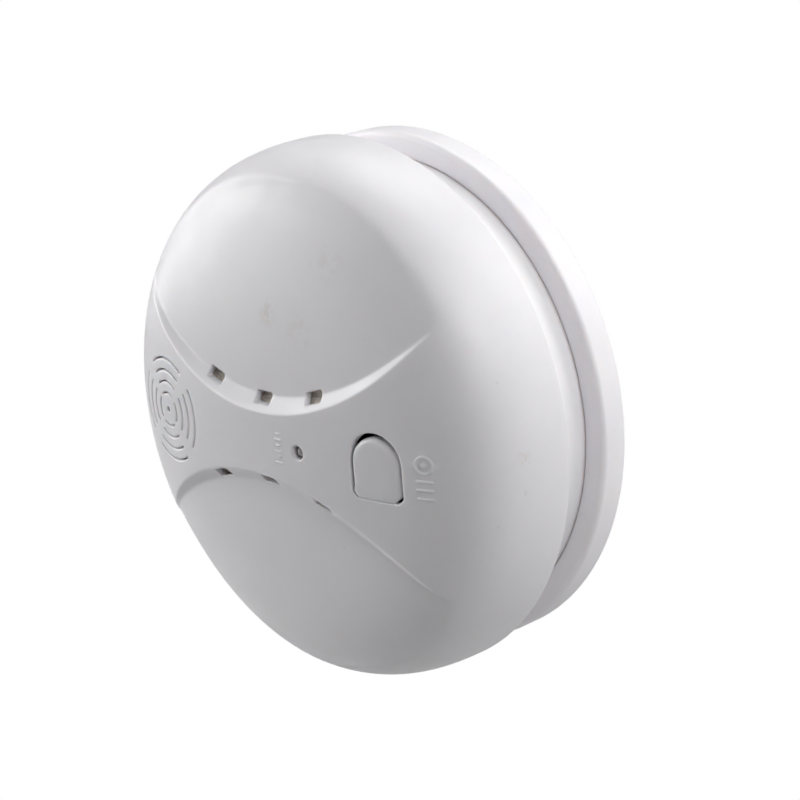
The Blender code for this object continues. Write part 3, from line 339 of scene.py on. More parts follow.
def cut_prisms(target, outlines, back, front):
    combine(target, prisms_object("cut", outlines, back, front), "DIFFERENCE")


# ---------------- outlines in x and z

def around(centre, radius, angles):
    return np.stack([centre[0] + radius * np.cos(angles), centre[1] + radius * np.sin(angles)], 1)


def circle(centre, radius, steps):
    return around(centre, radius, 2.0 * math.pi * np.arange(steps) / steps)


def circles(places, radius, steps):
    return [circle(place, radius, steps) for place in places]


def arc(centre, radius, start, end, steps):
    return around(centre, radius, np.linspace(start, end, steps + 1))


def turned(points, angle):
    """Points turned about the origin."""
    turn = np.array([[math.cos(angle), -math.sin(angle)], [math.sin(angle), math.cos(angle)]])
    return points @ turn.T


def ring_sector(inner, outer, start, end, steps):
    """Part of a ring between two angles."""
    outside = arc((0.0, 0.0), outer, start, end, steps)
    inside = arc((0.0, 0.0), inner, end, start, steps)
    return np.concatenate([outside, inside])


def evenly(points, spacing):
    """A closed polyline resampled to about the given spacing."""
    closed = np.vstack([points, points[:1]])
    lengths = np.linalg.norm(np.diff(closed, axis=0), axis=1)
    travel = np.concatenate([[0.0], np.cumsum(lengths)])
    count = max(int(round(travel[-1] / spacing)), 12)
    places = travel[-1] * np.arange(count) / count
    return np.stack([np.interp(places, travel, closed[:, axis]) for axis in (0, 1)], 1)


def rounded_polygon(corners, spacing):
    """An even outline through (x, z, radius) corners, listed anticlockwise."""
    points = []
    count = len(corners)
    for number, (x, z, radius) in enumerate(corners):
        here = Vector((x, z))
        before = Vector(corners[number - 1][:2]) - here
        after = Vector(corners[(number + 1) % count][:2]) - here
        half = 0.5 * before.angle(after)
        reach = radius / math.tan(half)
        inwards = (before.normalized() + after.normalized()).normalized()
        middle = here + inwards * (radius / math.sin(half))
        start = here + before.normalized() * reach - middle
        sweep = math.pi - 2.0 * half
        for step in range(CORNER_STEPS + 1):
            turn = Matrix.Rotation(sweep * step / CORNER_STEPS, 2)
            points.append(tuple(middle + turn @ start))
    return evenly(np.array(points), spacing)


def grown(loop, distance):
    """An anticlockwise loop moved outwards."""
    along = np.roll(loop, -1, axis=0) - np.roll(loop, 1, axis=0)
    along /= np.linalg.norm(along, axis=1)[:, None]
    return loop + distance * np.stack([along[:, 1], -along[:, 0]], 1)


def slot_outline(centre, radius, middle, half_angle, half_width):
    """A slot along an arc, with round ends."""
    start = middle - half_angle
    end = middle + half_angle
    outer = arc(centre, radius + half_width, start, end, 16)
    inner = arc(centre, radius - half_width, end, start, 16)
    caps = []
    for angle, turn in ((end, 0.0), (start, math.pi)):
        tip = (centre[0] + radius * math.cos(angle), centre[1] + radius * math.sin(angle))
        caps.append(arc(tip, half_width, angle + turn, angle + turn + math.pi, 8)[1:-1])
    return evenly(np.concatenate([outer, caps[0], inner, caps[1]]), LOOP_SPACING)


def button_outline(centre, radius, bottom, corner_radius):
    """Round at the top, straight sides, cut corners and a straight lower edge."""
    left = centre[0] - radius
    right = centre[0] + radius
    top = centre[1] + radius
    full = 0.999 * radius
    corners = [
        (right, top, full),
        (left, top, full),
        (left, bottom + CORNER_CUT, corner_radius),
        (left + CORNER_CUT, bottom, corner_radius),
        (right - CORNER_CUT, bottom, corner_radius),
        (right, bottom + CORNER_CUT, corner_radius),
    ]
    return rounded_polygon(corners, LOOP_SPACING)


def vent_outlines():
    """Six windows in the scoop walls, square to the brow arcs."""
    made = []
    for side, places, inset, height in VENT_ROWS:
        reach = BROW_RADIUS - inset
        x, z = VENT_WIDTH / 2, height / 2
        window = [(x, z, VENT_CORNER), (-x, z, VENT_CORNER), (-x, -z, VENT_CORNER), (x, -z, VENT_CORNER)]
        flat = rounded_polygon(window, LOOP_SPACING)
        for x in places:
            lean = side * math.asin(x / reach)
            z = BROW_HALF_BAND + BROW_RADIUS - reach * math.cos(lean)
            made.append(turned(flat, lean) + np.array([x, side * z]))
    return made


def grille_outlines():
    """A small centre hole, then four arcs at each of four radii."""
    centre = (GRILLE_X, 0.0)
    made = [circle(centre, GRILLE_CENTRE_RADIUS, 16)]
    for radius in GRILLE_RADII:
        for quarter in range(4):
            middle = quarter * 0.5 * math.pi
            made.append(slot_outline(centre, radius, middle, GRILLE_HALF_ANGLE, GRILLE_SLOT / 2))
    return made


def boxed(points, loop, margin):
    """Which points lie in the box round a loop, widened by a margin."""
    return ((points > loop.min(0) - margin) & (points < loop.max(0) + margin)).all(1)


def distance_to_loop(points, loop):
    """Signed distance from points to a closed loop, negative inside it."""
    ahead = np.roll(loop, -1, axis=0)
    edge = ahead - loop
    offset = points[:, None, :] - loop[None, :, :]
    share = np.clip((offset * edge).sum(2) / (edge * edge).sum(1), 0.0, 1.0)
    nearest = np.linalg.norm(offset - share[..., None] * edge, axis=2).min(1)
    x, z = points[:, 0:1], points[:, 1:2]
    spans = (loop[:, 1] > z) != (ahead[:, 1] > z)
    rise = np.where(np.abs(edge[:, 1]) < 1e-12, 1e-12, edge[:, 1])
    crossing = loop[:, 0] + edge[:, 0] * (z - loop[:, 1]) / rise
    inside = (spans & (x < crossing)).sum(1) % 2 == 1
    return np.where(inside, -nearest, nearest)


# ---------------- shape of the cover

def dome_depth(radius):
    """Depth of the plain dome at a distance from the axis."""
    side = np.minimum(radius / COVER_RADIUS, 1.0)
    rise = np.maximum(1.0 - side**SIDE_POWER, 0.0) ** (1.0 / FRONT_POWER)
    return COVER_BACK + (COVER_FRONT - CROWN - COVER_BACK) * rise + CROWN * (1.0 - side**2)


def dome_point(share):
    """(radius, depth) on the plain dome; share runs from 0 at the rim to 1 at the centre."""
    side = np.maximum(np.cos(0.5 * math.pi * share), 0.0) ** (2.0 / SIDE_POWER)
    return COVER_RADIUS * side, dome_depth(COVER_RADIUS * side)


def dome_share(radius):
    """The share at which the dome has a radius."""
    return math.acos((radius / COVER_RADIUS) ** (SIDE_POWER / 2.0)) / (0.5 * math.pi)


def soft_max(a, b, blend):
    overlap = np.maximum(blend - np.abs(a - b), 0.0) / blend
    return np.maximum(a, b) + 0.25 * blend * overlap**2


def soft_min(a, b, blend):
    return -soft_max(-a, -b, blend)


def wall_run(x):
    """Distance from the brow arc to the foot arc, square to the brow."""
    brow_height = np.sqrt(np.maximum(BROW_RADIUS**2 - x**2, 0.0))
    foot_height = np.sqrt(np.maximum(FOOT_RADIUS**2 - x**2, 0.0))
    foot = FOOT_HALF_BAND + FOOT_RADIUS - foot_height
    brow = BROW_HALF_BAND + BROW_RADIUS - brow_height
    run = (foot - brow) * brow_height / BROW_RADIUS
    return soft_max(run, 0.0, RUN_BLEND)


def scoop_sink(x, z):
    """How far the scoops lower the dome."""
    inset = BROW_RADIUS - np.hypot(x, np.abs(z) - BROW_HALF_BAND - BROW_RADIUS)
    slope = SCOOP_DEPTH / (FOOT_HALF_BAND - BROW_HALF_BAND)
    floor = slope * wall_run(x)
    wall = soft_max(slope * inset, 0.0, BROW_ROUNDING)
    blend = np.maximum(np.minimum(FOOT_ROUNDING, 0.8 * floor), 1e-7)
    radius = np.hypot(x, z)
    rise = (dome_depth(radius) - COVER_BACK) / (COVER_FRONT - COVER_BACK)
    fade = np.clip((radius - SCOOP_FADE[0]) / (SCOOP_FADE[1] - SCOOP_FADE[0]), 0.0, 1.0)
    return soft_min(wall, floor, blend) * rise * (1.0 - fade * fade * (3.0 - 2.0 * fade))


def face_depth(x, z):
    """Depth of the outer surface before the marks and the rounded edges of openings."""
    return dome_depth(np.hypot(x, z)) - scoop_sink(x, z)


def front_at(x, z):
    """Depth of the outer surface at one place."""
    return float(face_depth(np.array(x), np.array(z)))


def inner_profile():
    """(radius, depth) samples of the dome moved inwards by the wall, square to its surface."""
    share = np.linspace(0.002, 0.998, PROFILE_SAMPLES)
    radius, depth = dome_point(share)
    run_radius = np.gradient(radius)
    run_depth = np.gradient(depth)
    length = np.hypot(run_radius, run_depth)
    inner_radius = radius - WALL * run_depth / length
    inner_depth = depth + WALL * run_radius / length
    keep = inner_radius > 0.0
    return inner_radius[keep], inner_depth[keep]


INNER_RADIUS, INNER_DEPTH = inner_profile()


def inside_depth(x, z):
    """Depth of the cover's inner surface."""
    radius = np.hypot(x, z)
    plain = np.interp(radius, INNER_RADIUS[::-1], INNER_DEPTH[::-1])
    return plain - scoop_sink(x, z)


def mark_strokes():
    """The dashes and ticks, as (start, end, half width)."""
    strokes = [((DASH_ENDS[0], z), (DASH_ENDS[1], z), DASH_HALF_WIDTH) for z in DASH_HEIGHTS]
    for number in range(TICK_COUNT):
        z = TICK_TOP - TICK_PITCH * number
        reach = TICK_REACHES[number % 2]
        strokes.append(((TICK_X - reach, z), (TICK_X + reach, z), TICK_HALF_WIDTH))
    return strokes


def mark_relief(x, z):
    """Height of the raised marks."""
    apart = np.hypot(x - RING_CENTRE[0], z - RING_CENTRE[1])
    dot = 2.0 * RING_HALF_WIDTH - apart
    depth_in = np.maximum(RING_HALF_WIDTH - np.abs(apart - RING_RADIUS), dot)
    for start, end, half in mark_strokes():
        run = np.array(end) - np.array(start)
        share = ((x - start[0]) * run[0] + (z - start[1]) * run[1]) / (run @ run)
        share = np.clip(share, 0.0, 1.0)
        away = np.hypot(x - start[0] - share * run[0], z - start[1] - share * run[1])
        depth_in = np.maximum(depth_in, half - away)
    step = np.clip(depth_in / MARK_EDGE + 0.5, 0.0, 1.0)
    return MARK_HEIGHT * step * step * (3.0 - 2.0 * step)


def mark_points():
    """A close grid of points under the marks."""
    grids = []
    for low_x, high_x, low_z, high_z in MARK_BOXES:
        x = np.arange(low_x * MM, high_x * MM, MARK_SPACING)
        z = np.arange(low_z * MM, high_z * MM, MARK_SPACING)
        grids.append(np.stack(np.meshgrid(x, z), 2).reshape(-1, 2))
    return np.concatenate(grids)


def fillet_drop(distance, radius):
    """How far a rounded edge lies below the surface at a distance from the edge."""
    reach = np.clip(radius - distance, 0.0, radius)
    return radius - np.sqrt(np.maximum(radius**2 - reach**2, 0.0))


def fillet_offsets(radius):
    return [radius * (1.0 - math.cos(math.radians(angle))) for angle in FILLET_ANGLES]


def hex_grid(spacing, radius):
    """Points of a triangular grid inside a circle."""
    rows = int(radius / (spacing * 0.866)) + 1
    points = []
    for row in range(-rows, rows + 1):
        shift = 0.5 * spacing * (row % 2)
        x = np.arange(-radius, radius, spacing) + shift
        points.append(np.stack([x, np.full(len(x), row * spacing * 0.866)], 1))
    grid = np.concatenate(points)
    return grid[np.hypot(grid[:, 0], grid[:, 1]) < radius]


def clear_of(points, others, distance):
    """The points that are farther than a distance from all others."""
    tree = KDTree(len(others))
    for number, (x, z) in enumerate(others):
        tree.insert((x, z, 0.0), number)
    tree.balance()
    far = [tree.find((x, z, 0.0))[2] > distance for x, z in points]
    return points[np.array(far)]


def scoop_lines(shares, above_foot=(), below_brow=()):
    """Polylines along the scoop walls, which keep their edges crisp in the mesh."""
    x = np.arange(-SCOOP_LINE_END, SCOOP_LINE_END + MM, LINE_SPACING)
    run = wall_run(x)
    insets = [run * share for share in shares]
    insets += [run + above for above in above_foot]
    insets += [np.full(len(x), below) for below in below_brow]
    lines = []
    for inset in insets:
        reach = 1.0 - inset / BROW_RADIUS
        height = np.sqrt(BROW_RADIUS**2 - x**2)
        z = BROW_HALF_BAND + BROW_RADIUS - height * reach
        upper = np.stack([x * reach, z], 1)
        lines += [upper, -upper]
    return lines


class Plan:
    """A flat layout of points and edges that becomes a triangulated surface."""

    def __init__(self):
        self.points = []
        self.edges = []

    def add_line(self, line, closed=False):
        """Add a polyline and return its points' numbers."""
        numbers = list(range(len(self.points), len(self.points) + len(line)))
        self.points.extend(map(tuple, line))
        self.edges += zip(numbers, numbers[1:])
        if closed:
            self.edges.append((numbers[-1], numbers[0]))
        return numbers

    def add_clear_lines(self, lines, limit, edged):
        """Add the stretches of lines inside a radius and farther from each loop than its distance."""
        for line in lines:
            blocked = np.hypot(line[:, 0], line[:, 1]) > limit
            for loop, distance in edged:
                blocked |= distance_to_loop(line, loop) < distance
            run = []
            for place, stop in zip([*line, None], [*blocked, True]):
                if not stop:
                    run.append(place)
                    continue
                if len(run) > 1:
                    self.add_line(run)
                run = []

    def fill(self, grid, spacing):
        """Add the grid's points that aren't close to what is there."""
        kept = clear_of(grid, self.points, 0.55 * spacing)
        self.points.extend(map(tuple, kept))

    def triangles(self):
        """(points, faces, place of each input point in the points)."""
        flat = [Vector(place) for place in self.points]
        made = delaunay_2d_cdt(flat, self.edges, [], 0, 1e-8)
        points = np.array([tuple(v) for v in made[0]])
        origin = np.zeros(len(flat), int)
        for number, sources in enumerate(made[3]):
            origin[sources] = number
        return points, np.array(made[2]), origin


def outer_sheet(shell, holes):
    """Add the cover's face; return its rim and the edge of each hole."""
    plan = Plan()
    rim = plan.add_line(circle((0.0, 0.0), CDT_RADIUS, SECTORS), closed=True)
    edges = []
    for outline, fillet in holes:
        offsets = fillet_offsets(fillet) + [fillet + FILLET_APRON]
        loops = [plan.add_line(grown(outline, offset), closed=True) for offset in offsets]
        edges.append(loops[0])
    lines = scoop_lines(WALL_SHARES, LINES_ABOVE_FOOT, LINES_BELOW_BROW)
    edged = [(outline, fillet + LINE_CLEARANCE) for outline, fillet in holes]
    plan.add_clear_lines(lines, CDT_RADIUS - LINE_CLEARANCE, edged)
    plan.fill(mark_points(), 0.8 * MARK_SPACING)
    plan.fill(hex_grid(FACE_SPACING, CDT_RADIUS - LINE_CLEARANCE), FACE_SPACING)
    points, faces, origin = plan.triangles()
    x, z = points[:, 0], points[:, 1]
    depth = face_depth(x, z) + mark_relief(x, z)
    for outline, fillet in holes:
        near = boxed(points, outline, 2.0 * fillet)
        depth[near] -= fillet_drop(distance_to_loop(points[near], outline), fillet)
    outlines = [outline for outline, fillet in holes]
    return shell.add_sheet(points, faces, depth, outlines, [origin[loop] for loop in (rim, *edges)])


def inner_sheet(shell, holes, bosses):
    """Add the inside of the cover's face; return its rim and the edge of each hole and boss."""
    plan = Plan()
    outlines = [outline for outline, fillet in holes] + bosses
    rim = plan.add_line(circle((0.0, 0.0), INNER_CDT_RADIUS, SECTORS), closed=True)
    edges = [plan.add_line(outline, closed=True) for outline in outlines]
    edged = [(outline, LINE_CLEARANCE) for outline in outlines]
    plan.add_clear_lines(scoop_lines(INNER_WALL_SHARES), INNER_CDT_RADIUS - MM, edged)
    plan.fill(hex_grid(INSIDE_SPACING, INNER_CDT_RADIUS - MM), INSIDE_SPACING)
    points, faces, origin = plan.triangles()
    depth = inside_depth(points[:, 0], points[:, 1])
    return shell.add_sheet(points, faces, depth, outlines, [origin[loop] for loop in (rim, *edges)])


def shoulder_rings(shell):
    """Add the rings down the dome's side, round its rim and back up inside."""
    rings = []
    last_share = dome_share(CDT_RADIUS)
    for step in range(1, SHOULDER_RINGS + 1):
        radius, depth = dome_point(last_share + (RIM_SHARE - last_share) * step / SHOULDER_RINGS)
        rings.append(shell.add_ring(radius, ring_depth(radius, depth), SECTORS))
    for angle in (45.0, 90.0):
        turn = math.radians(angle)
        radius = COVER_RADIUS - RIM_FILLET * (1.0 - math.cos(turn))
        depth = COVER_BACK + RIM_FILLET * (1.0 - math.sin(turn))
        rings.append(shell.add_ring(radius, depth, SECTORS))
    inside = COVER_RADIUS - WALL
    rings.append(shell.add_ring(inside, COVER_BACK, SECTORS))
    for step in range(1, INSIDE_RINGS):
        radius = inside + (INNER_CDT_RADIUS - inside) * (step / INSIDE_RINGS) ** 2
        depth = np.interp(radius, INNER_RADIUS[::-1], INNER_DEPTH[::-1])
        rings.append(shell.add_ring(radius, ring_depth(radius, depth), SECTORS))
    return rings


def build_cover():
    """The cover as one closed shell with all its openings."""
    opening = button_outline(OPENING_CENTRE, OPENING_RADIUS, BUTTON_HINGE_Z, OPENING_CORNER)
    holes = [(opening, BUTTON_FILLET), (circle((LED_X, 0.0), LED_HOLE_RADIUS, 40), LED_FILLET)]
    holes += [(outline, VENT_FILLET) for outline in vent_outlines()]
    holes += [(outline, GRILLE_FILLET) for outline in grille_outlines()]
    bosses = circles(BOSS_PLACES, COVER_BOSS_RADIUS, BOSS_STEPS)
    shell = Shell()
    outer_rim, *outer_edges = outer_sheet(shell, holes)
    inner_rim, *inner_edges = inner_sheet(shell, holes, bosses)
    for outer_edge, inner_edge in zip(outer_edges, inner_edges):
        shell.bridge(outer_edge, inner_edge)
    for place, edge in zip(BOSS_PLACES, inner_edges[len(holes):]):
        rings = [edge, shell.add_ring(COVER_BOSS_RADIUS, COVER_BOSS_BACK, BOSS_STEPS, place)]
        for depth in (COVER_BOSS_BACK, SCREW_BORE_FRONT):
            rings.append(shell.add_ring(SCREW_BORE_RADIUS, depth, BOSS_STEPS, place))
        rings.append(shell.add_ring(0.0, SCREW_BORE_FRONT, 1, place))
        shell.bridge_all(rings)
    shell.bridge_all([outer_rim, *shoulder_rings(shell), inner_rim])
    return shell.to_object("cover_shell")


def ring_depth(radius, depth):
    """Depths round a ring of the dome, once the scoops are sunk."""
    angles = 2.0 * math.pi * np.arange(SECTORS) / SECTORS
    return depth - scoop_sink(radius * np.cos(angles), radius * np.sin(angles))


def build_gauze(name, side):
    """A strip of gauze that follows the inside of the cover behind one row of vents."""
    columns = np.arange(*GAUZE_SPAN, GAUZE_SPACING)
    heights = np.arange(GAUZE_INNER_Z, GAUZE_INNER_Z + GAUZE_HEIGHT, GAUZE_SPACING)
    x, z = np.meshgrid(columns, side * heights)
    front = inside_depth(x, z) - GAUZE_CLEARANCE
    shell = Shell()
    sheets = []
    for drop in (0.0, GAUZE_THICKNESS):
        first = shell.add_points(x.ravel(), (front - drop).ravel(), z.ravel())
        sheets.append(np.array(first).reshape(x.shape))
    for sheet in sheets:
        for low, high in zip(sheet, sheet[1:]):
            shell.faces += list(zip(low, low[1:], high[1:], high))
    rims = []
    for sheet in sheets:
        rims.append([*sheet[0], *sheet[1:, -1], *sheet[-1, -2::-1], *sheet[-2:0:-1, 0]])
    shell.bridge(*rims)
    return shell.to_object(name)


# ---------------- test button and indicator

def above_hinge(z, low, high):
    """A size that is low along the hinge and grows to high above it."""
    rise = np.clip((z - BUTTON_HINGE_Z - HINGE_STRIP) / HINGE_RAMP, 0.0, 1.0)
    return low + (high - low) * rise


def tongue_depth(x, z, outline):
    """Depth of the tongue's front, with a rounded edge that shrinks towards the hinge."""
    from_edge = -distance_to_loop(np.stack([x, z], 1), outline)
    fillet = above_hinge(z, HINGE_FILLET, TONGUE_FILLET)
    return face_depth(x, z) - TONGUE_SUNK - fillet_drop(np.maximum(from_edge, 0.0), fillet)


def build_tongue():
    bottom = BUTTON_HINGE_Z + HINGE_GAP
    outline = button_outline(TONGUE_CENTRE, TONGUE_RADIUS, bottom, TONGUE_CORNER)
    shell = Shell()
    plan = Plan()
    offsets = fillet_offsets(HINGE_FILLET)[1:] + fillet_offsets(TONGUE_FILLET)[2:]
    rim = plan.add_line(outline, closed=True)
    for offset in offsets:
        plan.add_line(grown(outline, -offset), closed=True)
    grid = hex_grid(TONGUE_SPACING, TONGUE_GRID_RADIUS) + np.array(TONGUE_CENTRE)
    plan.fill(grid[distance_to_loop(grid, outline) < -TONGUE_GRID_MARGIN], TONGUE_SPACING)
    points, faces, origin = plan.triangles()
    faces = faces[distance_to_loop(points[faces].mean(1), outline) < 0.0]
    x, z = points[:, 0], points[:, 1]
    wall = above_hinge(z, HINGE_WALL, TONGUE_WALL)
    edges = []
    for depth in (tongue_depth(x, z, outline), face_depth(x, z) - TONGUE_SUNK - wall):
        side = np.array(shell.add_points(x, depth, z))
        shell.faces += [tuple(face) for face in side[faces]]
        edges.append(side[origin[rim]].tolist())
    shell.bridge(*edges)
    tongue = shell.to_object("button_tongue")
    low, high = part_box("switch_plunger")
    place = (0.5 * (low.x + high.x), 0.5 * (low.z + high.z))
    tip = PUSHER_GAP - low.y
    root = front_at(*place) - TONGUE_SUNK - 0.5 * TONGUE_WALL
    pusher = [(0.0, tip), (PUSHER_RADIUS - PUSHER_BEVEL, tip), (PUSHER_RADIUS, tip + PUSHER_BEVEL)]
    pusher += [(PUSHER_RADIUS, root), (0.0, root)]
    combine(tongue, turned_object("pusher", pusher, 40, place), "UNION")
    return tongue


def build_led():
    """Clear domed lens on a flanged body."""
    low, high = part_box("indicator_led")
    tip = -low.y
    back = -high.y
    bevelled = LED_FLANGE_RADIUS - LED_BEVEL
    profile = [(0.0, LED_BACK), (bevelled, LED_BACK), (LED_FLANGE_RADIUS, LED_BACK + LED_BEVEL)]
    profile += [(LED_FLANGE_RADIUS, LED_FLANGE_FRONT - LED_BEVEL), (bevelled, LED_FLANGE_FRONT)]
    profile += [(LED_BODY_RADIUS, LED_FLANGE_FRONT), (LED_BODY_RADIUS, LED_BODY_FRONT)]
    profile.append((LENS_RADIUS, LED_BODY_FRONT + LED_BODY_RADIUS - LENS_RADIUS))
    for step in range(1, LENS_STEPS + 1):
        angle = 0.5 * math.pi * step / LENS_STEPS
        height = tip - LENS_RADIUS + LENS_RADIUS * math.sin(angle)
        profile.append((LENS_RADIUS * math.cos(angle), height))
    led = turned_object("led_dome", profile, 48, (LED_X, 0.0))
    legs = [(LED_X - LEG_OFFSET, 0.0), (LED_X + LEG_OFFSET, 0.0)]
    add_prisms(led, circles(legs, LEG_RADIUS, 12), back, LEG_FRONT)
    return led


# ---------------- rear housing and base

CATCH_COUNT = 3
CATCH_START = math.radians(90.0)
CATCH_ANGLES = [CATCH_START + 2.0 * math.pi * number / CATCH_COUNT for number in range(CATCH_COUNT)]
CATCH_HALF_ANGLE = math.radians(4.5)
CATCH_DEPTHS = (4.0 * MM, 5.2 * MM)
CATCH_INNER_RADIUS = 46.9 * MM
CATCH_ROOT = 0.5 * MM
TWIST = math.radians(18.0)
SLOT_SLACK = math.radians(1.0)
GAP = 0.3 * MM
NECK_RADIUS = 48.7 * MM
NECK_WALL = 2.3 * MM
NECK_BACK = 2.4 * MM
NECK_INNER_FILLET = 0.3 * MM
NECK_OUTER_FILLET = 0.4 * MM
# Points of the hollow corner under the flange: out from the neck and back from the flange
NECK_HOLLOW = ((0.0, 0.4 * MM), (0.15 * MM, 0.1 * MM), (0.5 * MM, 0.0))
FLANGE_RADIUS = 52.0 * MM
FLANGE_BACK = 17.1 * MM
FLANGE_FRONT = 18.7 * MM
FLANGE_FILLET = 0.3 * MM
FLOOR_BACK = 8.0 * MM
FLOOR_FRONT = 9.6 * MM
WELL_HALF_LENGTH = 28.3 * MM
WELL_HALF_HEIGHT = 13.8 * MM
WELL_WALL = 1.6 * MM
WELL_INNER_CORNER = 1.0 * MM
WELL_OUTER_CORNER = 2.0 * MM
WELL_CENTRE_Z = -18.0 * MM
WELL_FRONT = 22.6 * MM
BOSS_CIRCLE = 43.2 * MM
BOSS_PLACES = [(BOSS_CIRCLE * math.cos(angle), BOSS_CIRCLE * math.sin(angle)) for angle in CATCH_ANGLES]
BOSS_RADIUS = 3.8 * MM
BOSS_FRONT = 22.0 * MM
COUNTERBORE_RADIUS = 3.1 * MM
COUNTERBORE_FRONT = 14.0 * MM
COVER_BOSS_RADIUS = 3.2 * MM
COVER_BOSS_BACK = 22.3 * MM
SCREW_BORE_RADIUS = 1.6 * MM
SCREW_BORE_FRONT = 32.0 * MM
POST_RADIUS = 2.8 * MM
POST_FRONT = 24.2 * MM
PILOT_RADIUS = 1.0 * MM
PILOT_DEPTH = 8.7 * MM
POST_PLACES = ((35.0 * MM, 17.0 * MM), (-35.0 * MM, 17.0 * MM), (0.0, -39.5 * MM))
LEAD_HOLE = (26.8 * MM, -18.0 * MM)
LEAD_HOLE_RADIUS = 2.4 * MM
LEAD_HOLE_SUNK = 0.4 * MM

BASE_RADIUS = 53.5 * MM
BASE_DEPTH = 6.1 * MM
BASE_INNER_RADIUS = 48.8 * MM
BASE_FRONT_FILLET = 1.2 * MM
BASE_BACK_FILLET = 0.5 * MM
BASE_INNER_FILLET = 0.25 * MM
PLATE_BACK = 1.0 * MM
PLATE_FRONT = 2.0 * MM
CHANNEL_RADII = (50.5 * MM, 52.0 * MM)
CHANNEL_DEPTH = 4.6 * MM
RIM_PAD_RADIUS = 46.0 * MM
# Edge of the rim's pad: out from its radius, and depth
RIM_PAD_EDGE = ((0.9 * MM, 0.05 * MM), (1.1 * MM, 0.0))
CENTRE_PAD_RADIUS = 9.0 * MM
RIB_COUNT = 8
RIB_WIDTH = 1.6 * MM
RIB_ENDS = (CENTRE_PAD_RADIUS - MM, RIM_PAD_RADIUS + 0.8 * MM)
KEYHOLE_PLACES = (-30.0 * MM, 30.0 * MM)
KEYHOLE_HEAD_RADIUS = 4.2 * MM
KEYHOLE_SLOT_RADIUS = 2.3 * MM
KEYHOLE_DROP = 4.0 * MM
KEYHOLE_RISE = 5.0 * MM
KEYHOLE_PAD_RADIUS = 8.0 * MM


def corner(radius, depth, fillet, start, steps=4):
    """A profile's corner, rounded: a quarter turn from start degrees inside (radius, depth)."""
    middle = math.radians(start + 45.0)
    radius -= math.copysign(fillet, math.cos(middle))
    depth -= math.copysign(fillet, math.sin(middle))
    points = []
    for step in range(steps + 1):
        angle = math.radians(start + 90.0 * step / steps)
        points.append((radius + fillet * math.cos(angle), depth + fillet * math.sin(angle)))
    return points


def well_outline(grow, corner_radius):
    half_x = WELL_HALF_LENGTH + grow
    half_z = WELL_HALF_HEIGHT + grow
    corners = [(half_x, half_z), (-half_x, half_z), (-half_x, -half_z), (half_x, -half_z)]
    return rounded_polygon([(x, WELL_CENTRE_Z + z, corner_radius) for x, z in corners], MM)


def bayonet_outlines(entry):
    """The slots' runs round the neck, or only their entries."""
    reach = CATCH_HALF_ANGLE + SLOT_SLACK
    made = []
    for middle in CATCH_ANGLES:
        start = middle - TWIST - reach
        end = middle - TWIST + reach if entry else middle + reach
        made.append(ring_sector(NECK_RADIUS - NECK_WALL - MM, NECK_RADIUS + MM, start, end, 16))
    return made


def build_rear_tray():
    inner = NECK_RADIUS - NECK_WALL
    profile = [(0.0, FLOOR_BACK), (inner, FLOOR_BACK)]
    profile += corner(inner, NECK_BACK, NECK_INNER_FILLET, 180.0)
    profile += corner(NECK_RADIUS, NECK_BACK, NECK_OUTER_FILLET, 270.0)
    profile += [(NECK_RADIUS + out, FLANGE_BACK - back) for out, back in NECK_HOLLOW]
    profile += corner(FLANGE_RADIUS, FLANGE_BACK, FLANGE_FILLET, 270.0)
    profile += [(FLANGE_RADIUS, FLANGE_FRONT), (inner, FLANGE_FRONT)]
    profile += [(inner, FLOOR_FRONT), (0.0, FLOOR_FRONT)]
    tray = turned_object("rear_tray", profile, ROUND_STEPS)
    middle = 0.5 * (FLOOR_BACK + FLOOR_FRONT)
    add_prisms(tray, [well_outline(WELL_WALL, WELL_OUTER_CORNER)], middle, WELL_FRONT)
    add_prisms(tray, circles(BOSS_PLACES, BOSS_RADIUS, 40), middle, BOSS_FRONT)
    add_prisms(tray, circles(POST_PLACES, POST_RADIUS, 32), middle, POST_FRONT)
    cavity = [well_outline(0.0, WELL_INNER_CORNER)]
    cut_prisms(tray, cavity, FLOOR_BACK - MM, WELL_FRONT - WELL_WALL)
    pilots = circles(POST_PLACES, PILOT_RADIUS, 20)
    cut_prisms(tray, pilots, POST_FRONT - PILOT_DEPTH, POST_FRONT + MM)
    stepped = [(0.0, FLOOR_BACK - MM), (COUNTERBORE_RADIUS, FLOOR_BACK - MM)]
    stepped += [(COUNTERBORE_RADIUS, COUNTERBORE_FRONT), (SCREW_BORE_RADIUS, COUNTERBORE_FRONT)]
    stepped += [(SCREW_BORE_RADIUS, BOSS_FRONT + MM), (0.0, BOSS_FRONT + MM)]
    bores = Shell()
    for place in BOSS_PLACES:
        bores.add_turned(stepped, 32, place)
    combine(tray, bores.to_object("bores"), "DIFFERENCE")
    hole = circles([LEAD_HOLE], LEAD_HOLE_RADIUS, 32)
    cut_prisms(tray, hole, WELL_FRONT - WELL_WALL - LEAD_HOLE_SUNK, WELL_FRONT + MM)
    cut_prisms(tray, bayonet_outlines(False), CATCH_DEPTHS[0] - GAP, CATCH_DEPTHS[1] + GAP)
    cut_prisms(tray, bayonet_outlines(True), NECK_BACK - MM, CATCH_DEPTHS[1] + GAP)
    return tray


